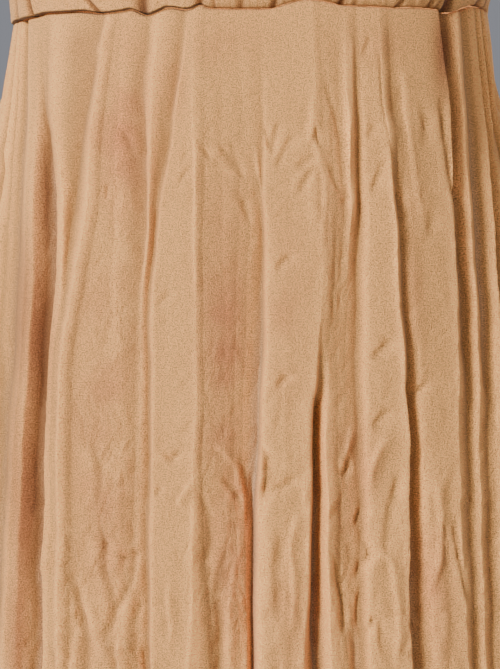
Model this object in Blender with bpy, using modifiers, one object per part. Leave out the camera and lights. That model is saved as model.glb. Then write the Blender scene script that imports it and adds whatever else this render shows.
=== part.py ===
"""A long crinkled skirt as worn: a gathered elastic waistband over a front and a back panel.

The origin is the middle of the waistband, on the body's axis. The front faces -Y and +Z is up.
Angles are in degrees round from the centre of the front, growing towards +X.
"""
import math

import bpy
import numpy as np

MM = 0.001

# The waistband: a strip of the skirt's cloth, folded over elastic and drawn up into gathers.
BAND_HEIGHT = 44 * MM
BAND_WALL = 2.6 * MM
BAND_GATHERS = 28
BAND_GATHER_DEPTH = 2.4 * MM
BAND_COLUMNS = 4 * BAND_GATHERS
# Each row is a level of the band, from its upper edge down: its share of the height, and how far
# it bulges out.
BAND_LEVELS = (
    # share, out_mm
    (1.0, 1.2),
    (0.7, 3.0),
    (0.3, 3.0),
    (0.0, 1.0),
)
# The gathers crowd and spread a little: two slow waves round the waist, in turns and radians.
GATHER_WAVES = (
    # waves_round, shift, start
    (3, 0.5, 0.0),
    (7, 0.3, 1.0),
)
# A power under 1 gives round crests and pinched hollows.
GATHER_POWER = 0.7

# The two panels.
PANEL_LENGTH = 960 * MM
CLOTH_WALL = 1.2 * MM
SEAM_GAP = 0.3 * MM
PANEL_COLUMNS = 104
PANEL_DROPS_MM = (0, 30, 70, 110, 180, 240, 300, 370, 550, 750, 960)

# The section is a rounded oval, a little fuller at its corners than an ellipse.
OVAL_POWER = 2.4
# Each row is a ring of the body form under the folds, from the waist seam to the hem.
RINGS = (
    # drop_mm, half_width_mm, half_depth_mm
    (0, 140, 106),
    (50, 147, 111),
    (110, 161, 120),
    (180, 178, 131),
    (240, 190, 141),
    (370, 214, 158),
    (600, 255, 192),
    (960, 318, 248),
)

# The drops under the waist seam at which the fold lines are placed.
LINE_DROPS_MM = (0, 50, 110, 180, 240, 300, 370)
# Each row is a crest or a hollow line of the front, from left to right: how far it lies across
# from the centre, and how far it stands out from the body form, at each of LINE_DROPS_MM.
FRONT_LINES = (
    # name, across_mm, out_mm
    ("left_side_hollow", (-133, -134, -136, -138, -141, -144, -146), (-5, -5, -5, -5, -5, -5, -5)),
    ("left_shoulder", (-129, -127, -126, -127, -130, -134, -136), (0, 1, 2.5, 3, 3, 3, 3)),
    ("left_strip", (-125, -122, -120.5, -121, -124, -127, -128), (0, 1, 4, 5, 5, 4, 3)),
    ("left_hollow", (-121, -119, -115.5, -116.5, -119.5, -120, -118), (0, -1, -10, -12, -12, -9, -7)),
    ("first_fold_left", (-117.5, -116.5, -108.5, -111, -113.5, -114, -113), (0, 0.5, 1.6, 2, 2.4, 2.4, 2.4)),
    ("first_fold_right", (-112, -112, -103, -107, -110, -110, -109.5), (0.4, 2.6, 4.4, 3.2, 3.4, 3.4, 3.4)),
    ("first_wedge", (-84, -92.5, -100.5, -104, -106.5, -106.5, -106.5), (-0.4, -1.6, -2, 3.8, 4.2, 4.2, 4.2)),
    ("second_fold", (-80.5, -85.5, -89.5, -100, -104, -103.5, -103), (1, 4, 5.2, 5.6, 6, 5.8, 5.5)),
    ("second_foot", (-75.5, -81, -85, -96, -99.5, -99, -99), (0.4, 1, 1.4, 1.8, 1.8, 1.5, 1.5)),
    ("left_field_crest", (-72.5, -73.5, -76.5, -76, -74.5, -73.5, -72.5), (0, 0.8, 1, 0.8, 0.4, 0, 0.8)),
    ("left_field_dip", (-58.5, -60.5, -59, -64, -65.5, -65.5, -64), (-0.8, -2.2, -2.4, -2, -2.2, -2.6, -3)),
    ("third_fold", (-52, -54.5, -55.5, -60.5, -62, -62, -61), (0.6, 2.6, 2.4, -1.8, -2, -2.4, -3)),
    ("third_hollow", (-37.5, -43.5, -53, -58, -58.5, -58.5, -58), (-0.8, -2.6, -2.6, -3, -3.2, -3.4, -3.6)),
    ("broad_fold_left", (-34, -40, -49, -53.5, -54, -54, -54), (0, 0.8, 1.4, 1.4, 1.4, 1.4, 1.4)),
    ("broad_fold_right", (-31.5, -31.5, -29.5, -29, -29.5, -30, -33), (0.8, 4, 5.6, 6, 6, 5.8, 5.4)),
    ("broad_fold_hollow", (-25.5, -25.5, -25, -25.5, -25.5, -25, -20), (0.4, 2.6, 4.2, 4, 3.6, 1.8, -3)),
    ("middle_crest", (-16.5, -16.5, -15, -14, -14, -13, -10), (0, 1, 2, 1.2, 0.6, 0, -1.5)),
    ("middle_dip", (-8, -6, -5.5, -8.5, -8.5, -7.5, -5.5), (0, 0.3, 0, -1, -1.6, -1.8, -2)),
    ("middle_fold", (-4, -2.5, 0, -3, -4, -3, -1.5), (0, 0.4, -1, -2.8, -3, -3.6, -3)),
    ("centre_hollow", (4.5, 6, 7, 6.5, 5, 1.5, 1.5), (0, -0.4, -3, -5.6, -6.4, -7, -7.5)),
    ("centre_fold_left", (8, 8.5, 9, 8.5, 7, 4, 4), (0, 0.5, 1, 1.4, 1.8, 2.2, 2.4)),
    ("centre_fold_middle", (21, 21, 20, 19.5, 19.5, 19, 18), (0, 1.2, 2.4, 3.6, 4, 3.8, 3.8)),
    ("centre_fold_right", (35, 36.5, 38.5, 37.5, 33.5, 32, 30), (0.5, 2.8, 4.8, 5.8, 5.4, 4.6, 4.2)),
    ("long_slit", (39, 40.5, 42.5, 40, 38, 37, 38), (0, 1.6, 3.6, 4.4, -4, -7.5, -7.5)),
    ("narrow_fold", (45.5, 45.5, 47.5, 45, 42, 42, 45), (0, 1, 2, 2, 2.4, 3.4, 4)),
    ("narrow_fold_foot", (49.5, 49.5, 52, 50, 49.5, 50.5, 55.5), (0, 0.4, 0.4, 0, -1, -2.4, -1)),
    ("knot_fold", (54, 54, 55, 55, 54.5, 56.5, 60), (0, 2.2, 2.2, -2, -2.4, -3, -5)),
    ("knot_hollow", (60, 61, 62, 62, 61.5, 62.5, 63.5), (-0.4, -1.4, -3.2, -4.4, -4.4, -4, -4.4)),
    ("right_fold_left", (63, 63.5, 64.5, 64.5, 64, 65, 66), (0, 0.8, 1.4, 1.4, 1.6, 1.6, 2.4)),
    ("right_fold_right", (73, 74.5, 77.5, 81.5, 85.5, 87, 87), (0.8, 4, 5.4, 5.8, 5.6, 5, 4.6)),
    ("right_slit", (78.5, 81, 83.5, 88, 91, 92.5, 93), (0, -0.8, -1.6, -2.6, -5.6, -7, -5)),
    ("last_fold_left", (83.5, 86.5, 90, 93, 95, 98.5, 102.5), (0, 0.6, 1, 1, 1.6, 1.6, 1.8)),
    ("last_fold_right", (107.5, 111.5, 113.5, 114, 114, 116, 118.5), (1, 3, 4.2, 4.8, 4.8, 4.4, 4)),
    ("thin_hollow", (112, 117, 120.5, 123.5, 124, 124.5, 126), (-4, -5.5, -5.5, -5, -2.4, -1.4, -2)),
    ("right_shoulder", (119, 122, 125, 127.5, 128, 129, 130.5), (1, 1, 1.4, 1.6, 1.4, 1.4, 1.4)),
    ("right_side_hollow", (126, 130, 133.5, 136.5, 136, 137, 137.5), (-4, -5, -6, -6, -3, -3, -3)),
    ("right_side_crest", (131, 136, 139, 141, 141, 142, 143), (-1, 0, 1, 2, 3, 3, 3)),
)

# The folds outside the front's table are alike, and a little uneven.
SIDE_FOLDS = 5
BACK_FOLDS = 20
SEAM_FLAT = 4.0
FOLD_HEIGHTS_MM = (1.0, 2.2, 3.2, 3.8, 4.2, 4.6, 5.0)
# Two slow waves over the steps from crest to hollow make them uneven, in shares of a step and of
# the height.
UNEVEN_PLACE = 0.36
UNEVEN_PLACE_STRIDE = 2.4
UNEVEN_HEIGHT = 0.5
UNEVEN_HEIGHT_STRIDE = 1.7
# From the lowest drop of the tables to the hem the folds spread and deepen.
HEM_DEEPER = 2.6
HEM_DEEPEST = 10.0
# How far to each side a fold is rounded at the hem, in degrees; above the tables' end it is crisp.
HEM_ROUNDING = 1.4

# The crepe's colour in linear light, and its finish.
CREPE_COLOUR = (0.60, 0.39, 0.24, 1.0)
BAND_COLOUR = (0.56, 0.36, 0.22, 1.0)
CREPE_ROUGHNESS = 0.85


def smooth_between(places, values, at):
    """The value at a place, on a smooth curve through the values at the given places."""
    places = np.asarray(places, float)
    values = np.asarray(values, float)
    slopes = np.gradient(values, places, axis=0)
    left = int(np.clip(np.searchsorted(places, at) - 1, 0, len(places) - 2))
    span = places[left + 1] - places[left]
    t = (at - places[left]) / span
    return (
        (2 * t**3 - 3 * t**2 + 1) * values[left]
        + (t**3 - 2 * t**2 + t) * span * slopes[left]
        + (3 * t**2 - 2 * t**3) * values[left + 1]
        + (t**3 - t**2) * span * slopes[left + 1]
    )


def half_sizes(drop_mm):
    """The body form's half width and half depth at a drop, in metres."""
    drops = [ring[0] for ring in RINGS]
    sizes = [ring[1:] for ring in RINGS]
    return smooth_between(drops, sizes, drop_mm) * MM


def oval_radius(angle, drop_mm):
    """The body form's radius at an angle and a drop, in metres."""
    half_width, half_depth = half_sizes(drop_mm)
    across = abs(math.sin(math.radians(angle))) / half_width
    forward = abs(math.cos(math.radians(angle))) / half_depth
    return (across**OVAL_POWER + forward**OVAL_POWER) ** (-1 / OVAL_POWER)


def angle_of(across_mm, drop_mm):
    """The angle of the front's point that lies so far across from the centre."""
    half_width, half_depth = half_sizes(drop_mm)
    share = abs(across_mm) * MM / half_width
    forward = half_depth * (1 - share**OVAL_POWER) ** (1 / OVAL_POWER)
    return math.degrees(math.atan2(across_mm * MM, forward))


def even_folds(count, starts, ends, seed):
    """Fold lines between two angles at each drop: a crest and a hollow for each fold."""
    steps = 2 * count
    angles = []
    heights = []
    for step in range(1, steps):
        share = (step + UNEVEN_PLACE * math.sin(UNEVEN_PLACE_STRIDE * step + seed)) / steps
        swell = 1 + UNEVEN_HEIGHT * math.sin(UNEVEN_HEIGHT_STRIDE * step + seed)
        side = -1 if step % 2 else 1
        angles.append([a + (b - a) * share for a, b in zip(starts, ends)])
        heights.append([side * swell * height for height in FOLD_HEIGHTS_MM])
    return angles, heights


def fold_lines():
    """The angle and height of every fold line at each of LINE_DROPS_MM, all the way round."""
    front = [
        [angle_of(across, drop) for across, drop in zip(places, LINE_DROPS_MM)]
        for _, places, _ in FRONT_LINES
    ]
    heights = [list(out) for _, _, out in FRONT_LINES]
    drops = len(LINE_DROPS_MM)
    right_seam = ([90 - SEAM_FLAT] * drops, [90 + SEAM_FLAT] * drops)
    left_seam = ([270 - SEAM_FLAT] * drops, [270 + SEAM_FLAT] * drops)
    front_end = [angle + 360 for angle in front[0]]
    angles = list(front)
    for count, start, end, seed in (
        (SIDE_FOLDS, front[-1], right_seam[0], 0.4),
        (BACK_FOLDS, right_seam[1], left_seam[0], 1.3),
        (SIDE_FOLDS, left_seam[1], front_end, 2.9),
    ):
        more_angles, more_heights = even_folds(count, start, end, seed)
        angles += more_angles
        heights += more_heights
    for seam in (*right_seam, *left_seam):
        angles.append(seam)
        heights.append([0] * drops)
    order = np.argsort(np.array(angles)[:, -1])
    return np.array(angles)[order].T, np.array(heights, float)[order].T


LINE_ANGLES, LINE_HEIGHTS = fold_lines()


def fold_heights(angles, drop_mm):
    """How far the cloth stands out from the body form at each angle of a drop, in metres."""
    low = LINE_DROPS_MM[-1]
    if drop_mm <= low:
        places = smooth_between(LINE_DROPS_MM, LINE_ANGLES, drop_mm)
        heights = smooth_between(LINE_DROPS_MM, LINE_HEIGHTS, drop_mm)
        return np.interp(angles, places, heights, period=360) * MM
    share = (drop_mm - low) / (PANEL_LENGTH / MM - low)
    heights = np.clip(LINE_HEIGHTS[-1] * (1 + (HEM_DEEPER - 1) * share), -HEM_DEEPEST, HEM_DEEPEST)
    near = [
        np.interp(angles + side * HEM_ROUNDING * share, LINE_ANGLES[-1], heights, period=360)
        for side in (-1, 0, 1)
    ]
    return np.mean(near, axis=0) * MM


def point(angle, radius, height):
    """The point at an angle, a radius and a height."""
    turn = math.radians(angle)
    return (radius * math.sin(turn), -radius * math.cos(turn), height)


def panel_rows(middle_angle):
    """The rows of points of a panel, from the seam at its one side to the seam at its other."""
    top = -BAND_HEIGHT / 2 - SEAM_GAP
    rows = []
    for drop_mm in PANEL_DROPS_MM:
        half_width = half_sizes(drop_mm)[0]
        reach = 90 - math.degrees(SEAM_GAP / 2 / half_width)
        angles = np.linspace(middle_angle - reach, middle_angle + reach, PANEL_COLUMNS + 1)
        outs = fold_heights(angles, drop_mm)
        rows.append(
            [
                point(angle, oval_radius(angle, drop_mm) + out, top - drop_mm * MM)
                for angle, out in zip(angles, outs)
            ]
        )
    return rows


def band_gather(angle):
    """How far a gather stands out, from 0 in a pinch to 1 on a crest, a little uneven."""
    turn = math.radians(angle)
    phase = BAND_GATHERS / 2 * turn
    for waves_round, shift, start in GATHER_WAVES:
        phase += shift * math.sin(waves_round * turn + start)
    return abs(math.sin(phase)) ** GATHER_POWER


def band_rows():
    """The rows of points of the waistband, from its upper edge to its lower one."""
    angles = np.linspace(0, 360, BAND_COLUMNS, endpoint=False)
    radii = [oval_radius(angle, 0) - BAND_GATHER_DEPTH * (1 - band_gather(angle)) for angle in angles]
    return [
        [
            point(angle, radius + out_mm * MM, (share - 0.5) * BAND_HEIGHT)
            for angle, radius in zip(angles, radii)
        ]
        for share, out_mm in BAND_LEVELS
    ]


def lofted(name, rows, closed):
    """A mesh through rows of points, given from top to bottom, as an open surface facing out."""
    columns = len(rows[0])
    last = columns if closed else columns - 1
    faces = []
    for row in range(len(rows) - 1):
        for column in range(last):
            here = row * columns + column
            beside = row * columns + (column + 1) % columns
            faces.append((here, here + columns, beside + columns, beside))
    mesh = bpy.data.meshes.new(name)
    mesh.from_pydata([p for row in rows for p in row], [], faces)
    mesh.shade_smooth()
    return mesh


def cloth_material(name, colour):
    """A matt woven cloth."""
    material = bpy.data.materials.new(name)
    material.use_nodes = True
    shader = material.node_tree.nodes["Principled BSDF"]
    shader.inputs["Base Color"].default_value = colour
    shader.inputs["Roughness"].default_value = CREPE_ROUGHNESS
    shader.inputs["Metallic"].default_value = 0.0
    material.diffuse_color = colour
    return material


def add_piece(collection, name, rows, closed, wall, colour):
    """A piece of cloth: a lofted surface with a wall inside it."""
    mesh = lofted(name, rows, closed)
    mesh.materials.append(cloth_material(name, colour))
    piece = bpy.data.objects.new(name, mesh)
    collection.objects.link(piece)
    solidify = piece.modifiers.new("wall", "SOLIDIFY")
    solidify.thickness = wall
    solidify.offset = -1
    solidify.use_even_offset = True
    return piece


def build():
    """The whole skirt, in a collection of its own."""
    for old in list(bpy.data.objects):
        bpy.data.objects.remove(old)
    collection = bpy.data.collections.new("maxi_skirt")
    bpy.context.scene.collection.children.link(collection)
    add_piece(collection, "waistband", band_rows(), True, BAND_WALL, BAND_COLOUR)
    add_piece(collection, "skirt_front", panel_rows(0), False, CLOTH_WALL, CREPE_COLOUR)
    add_piece(collection, "skirt_back", panel_rows(180), False, CLOTH_WALL, CREPE_COLOUR)


build()
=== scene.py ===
"""A long crinkled crepe skirt as worn, dressed and lit for its picture.

The skirt's solids are loaded as a fixed frame. Over them come a front and a back panel of crepe with
their folds and creases, a gathered waistband, the stitching of the hem, and a plain studio.
Angles are in degrees round from the centre of the front, growing towards +X, and a drop is how far
a point lies under the waist seam.
"""
import math
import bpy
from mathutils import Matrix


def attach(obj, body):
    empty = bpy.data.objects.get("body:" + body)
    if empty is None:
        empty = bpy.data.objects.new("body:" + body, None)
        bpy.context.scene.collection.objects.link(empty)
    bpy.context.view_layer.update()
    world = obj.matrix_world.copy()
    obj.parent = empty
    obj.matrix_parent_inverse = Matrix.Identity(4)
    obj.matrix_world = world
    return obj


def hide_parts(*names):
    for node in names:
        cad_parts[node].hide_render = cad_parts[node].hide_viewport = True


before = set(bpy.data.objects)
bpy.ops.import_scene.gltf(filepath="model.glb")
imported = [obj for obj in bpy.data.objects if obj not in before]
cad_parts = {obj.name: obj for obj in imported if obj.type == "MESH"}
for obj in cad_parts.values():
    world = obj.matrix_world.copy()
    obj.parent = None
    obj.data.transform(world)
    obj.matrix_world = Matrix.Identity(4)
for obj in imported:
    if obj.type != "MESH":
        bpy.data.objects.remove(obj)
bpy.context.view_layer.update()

from types import SimpleNamespace

import bpy
import numpy as np
from mathutils import Vector, noise

bl_info = {
    "name": "Crinkled crepe skirt",
    "version": (1, 0, 0),
    "blender": (4, 5, 0),
    "location": "3D View > Sidebar > Skirt",
    "description": "Dresses the solids of a long crinkled skirt with crepe, and lights them",
    "category": "Object",
}

MM = 0.001

# The waistband and the panels, as their solids have them.
BAND_HEIGHT = 44 * MM
PANEL_LENGTH = 960 * MM
PANEL_LENGTH_MM = PANEL_LENGTH / MM
SEAM_GAP = 0.3 * MM
PANEL_TOP = -BAND_HEIGHT / 2 - SEAM_GAP
OVAL_POWER = 2.4
RINGS = (
    # drop_mm, half_width_mm, half_depth_mm
    (0, 140, 106),
    (50, 147, 111),
    (110, 161, 120),
    (180, 178, 131),
    (240, 190, 141),
    (370, 214, 158),
    (600, 255, 192),
    (960, 318, 248),
)

# The drops at which the fold lines are placed.
LINE_DROPS_MM = (0, 50, 110, 180, 240, 300, 370)
# Each row is a crest or a hollow line of the front, from left to right: how far it lies across
# from the centre, and how far it stands out from the body form, at each of LINE_DROPS_MM.
FRONT_LINES = (
    # name, across_mm, out_mm
    ("left_side_hollow", (-133, -134, -136, -138, -141, -144, -146), (-5, -5, -5, -5, -5, -5, -5)),
    ("left_shoulder", (-129, -127, -126, -127, -130, -134, -136), (0, 1, 2.5, 3, 3, 3, 3)),
    ("left_strip", (-125, -122, -120.5, -121, -124, -127, -128), (0, 1, 4, 5, 5, 4, 3)),
    ("left_hollow", (-121, -119, -115.5, -116.5, -119.5, -120, -118), (0, -1, -10, -12, -12, -9, -7)),
    ("first_fold_left", (-117.5, -116.5, -108.5, -111, -113.5, -114, -113), (0, 0.5, 1.6, 2, 2.4, 2.4, 2.4)),
    ("first_fold_right", (-112, -112, -103, -107, -110, -110, -109.5), (0.4, 2.6, 4.4, 3.2, 3.4, 3.4, 3.4)),
    ("first_wedge", (-84, -92.5, -100.5, -104, -106.5, -106.5, -106.5), (-0.4, -1.6, -2, 3.8, 4.2, 4.2, 4.2)),
    ("second_fold", (-80.5, -85.5, -89.5, -100, -104, -103.5, -103), (1, 4, 5.2, 5.6, 6, 5.8, 5.5)),
    ("second_foot", (-75.5, -81, -85, -96, -99.5, -99, -99), (0.4, 1, 1.4, 1.8, 1.8, 1.5, 1.5)),
    ("left_field_crest", (-72.5, -73.5, -76.5, -76, -74.5, -73.5, -72.5), (0, 0.8, 1, 0.8, 0.4, 0, 0.8)),
    ("left_field_dip", (-58.5, -60.5, -59, -64, -65.5, -65.5, -64), (-0.8, -2.2, -2.4, -2, -2.2, -2.6, -3)),
    ("third_fold", (-52, -54.5, -55.5, -60.5, -62, -62, -61), (0.6, 2.6, 2.4, -1.8, -2, -2.4, -3)),
    ("third_hollow", (-37.5, -43.5, -53, -58, -58.5, -58.5, -58), (-0.8, -2.6, -2.6, -3, -3.2, -3.4, -3.6)),
    ("broad_fold_left", (-34, -40, -49, -53.5, -54, -54, -54), (0, 0.8, 1.4, 1.4, 1.4, 1.4, 1.4)),
    ("broad_fold_right", (-31.5, -31.5, -29.5, -29, -29.5, -30, -33), (0.8, 4, 5.6, 6, 6, 5.8, 5.4)),
    ("broad_fold_hollow", (-25.5, -25.5, -25, -25.5, -25.5, -25, -20), (0.4, 2.6, 4.2, 4, 3.6, 1.8, -3)),
    ("middle_crest", (-16.5, -16.5, -15, -14, -14, -13, -10), (0, 1, 2, 1.2, 0.6, 0, -1.5)),
    ("middle_dip", (-8, -6, -5.5, -8.5, -8.5, -7.5, -5.5), (0, 0.3, 0, -1, -1.6, -1.8, -2)),
    ("middle_fold", (-4, -2.5, 0, -3, -4, -3, -1.5), (0, 0.4, -1, -2.8, -3, -3.6, -3)),
    ("centre_hollow", (4.5, 6, 7, 6.5, 5, 1.5, 1.5), (0, -0.4, -3, -5.6, -6.4, -7, -7.5)),
    ("centre_fold_left", (8, 8.5, 9, 8.5, 7, 4, 4), (0, 0.5, 1, 1.4, 1.8, 2.2, 2.4)),
    ("centre_fold_middle", (21, 21, 20, 19.5, 19.5, 19, 18), (0, 1.2, 2.4, 3.6, 4, 3.8, 3.8)),
    ("centre_fold_right", (35, 36.5, 38.5, 37.5, 33.5, 32, 30), (0.5, 2.8, 4.8, 5.8, 5.4, 4.6, 4.2)),
    ("long_slit", (39, 40.5, 42.5, 40, 38, 37, 38), (0, 1.6, 3.6, 4.4, -4, -7.5, -7.5)),
    ("narrow_fold", (45.5, 45.5, 47.5, 45, 42, 42, 45), (0, 1, 2, 2, 2.4, 3.4, 4)),
    ("narrow_fold_foot", (49.5, 49.5, 52, 50, 49.5, 50.5, 55.5), (0, 0.4, 0.4, 0, -1, -2.4, -1)),
    ("knot_fold", (54, 54, 55, 55, 54.5, 56.5, 60), (0, 2.2, 2.2, -2, -2.4, -3, -5)),
    ("knot_hollow", (60, 61, 62, 62, 61.5, 62.5, 63.5), (-0.4, -1.4, -3.2, -4.4, -4.4, -4, -4.4)),
    ("right_fold_left", (63, 63.5, 64.5, 64.5, 64, 65, 66), (0, 0.8, 1.4, 1.4, 1.6, 1.6, 2.4)),
    ("right_fold_right", (73, 74.5, 77.5, 81.5, 85.5, 87, 87), (0.8, 4, 5.4, 5.8, 5.6, 5, 4.6)),
    ("right_slit", (78.5, 81, 83.5, 88, 91, 92.5, 93), (0, -0.8, -1.6, -2.6, -5.6, -7, -5)),
    ("last_fold_left", (83.5, 86.5, 90, 93, 95, 98.5, 102.5), (0, 0.6, 1, 1, 1.6, 1.6, 1.8)),
    ("last_fold_right", (107.5, 111.5, 113.5, 114, 114, 116, 118.5), (1, 3, 4.2, 4.8, 4.8, 4.4, 4)),
    ("thin_hollow", (112, 117, 120.5, 123.5, 124, 124.5, 126), (-4, -5.5, -5.5, -5, -2.4, -1.4, -2)),
    ("right_shoulder", (119, 122, 125, 127.5, 128, 129, 130.5), (1, 1, 1.4, 1.6, 1.4, 1.4, 1.4)),
    ("right_side_hollow", (126, 130, 133.5, 136.5, 136, 137, 137.5), (-4, -5, -6, -6, -3, -3, -3)),
    ("right_side_crest", (131, 136, 139, 141, 141, 142, 143), (-1, 0, 1, 2, 3, 3, 3)),
)

# The folds outside the front's table are alike. How uneven they are in place and in height is
# given by an amount and its stride from one fold line to the next.
SIDE_FOLDS = 5
BACK_FOLDS = 20
SEAM_FLAT = 4.0
FOLD_HEIGHTS_MM = (1.0, 2.2, 3.2, 3.8, 4.2, 4.6, 5.0)
UNEVEN_PLACE = (0.36, 2.4)
UNEVEN_HEIGHT = (0.5, 1.7)
HEM_DEEPER = 2.6
HEM_DEEPEST = 10.0

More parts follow.
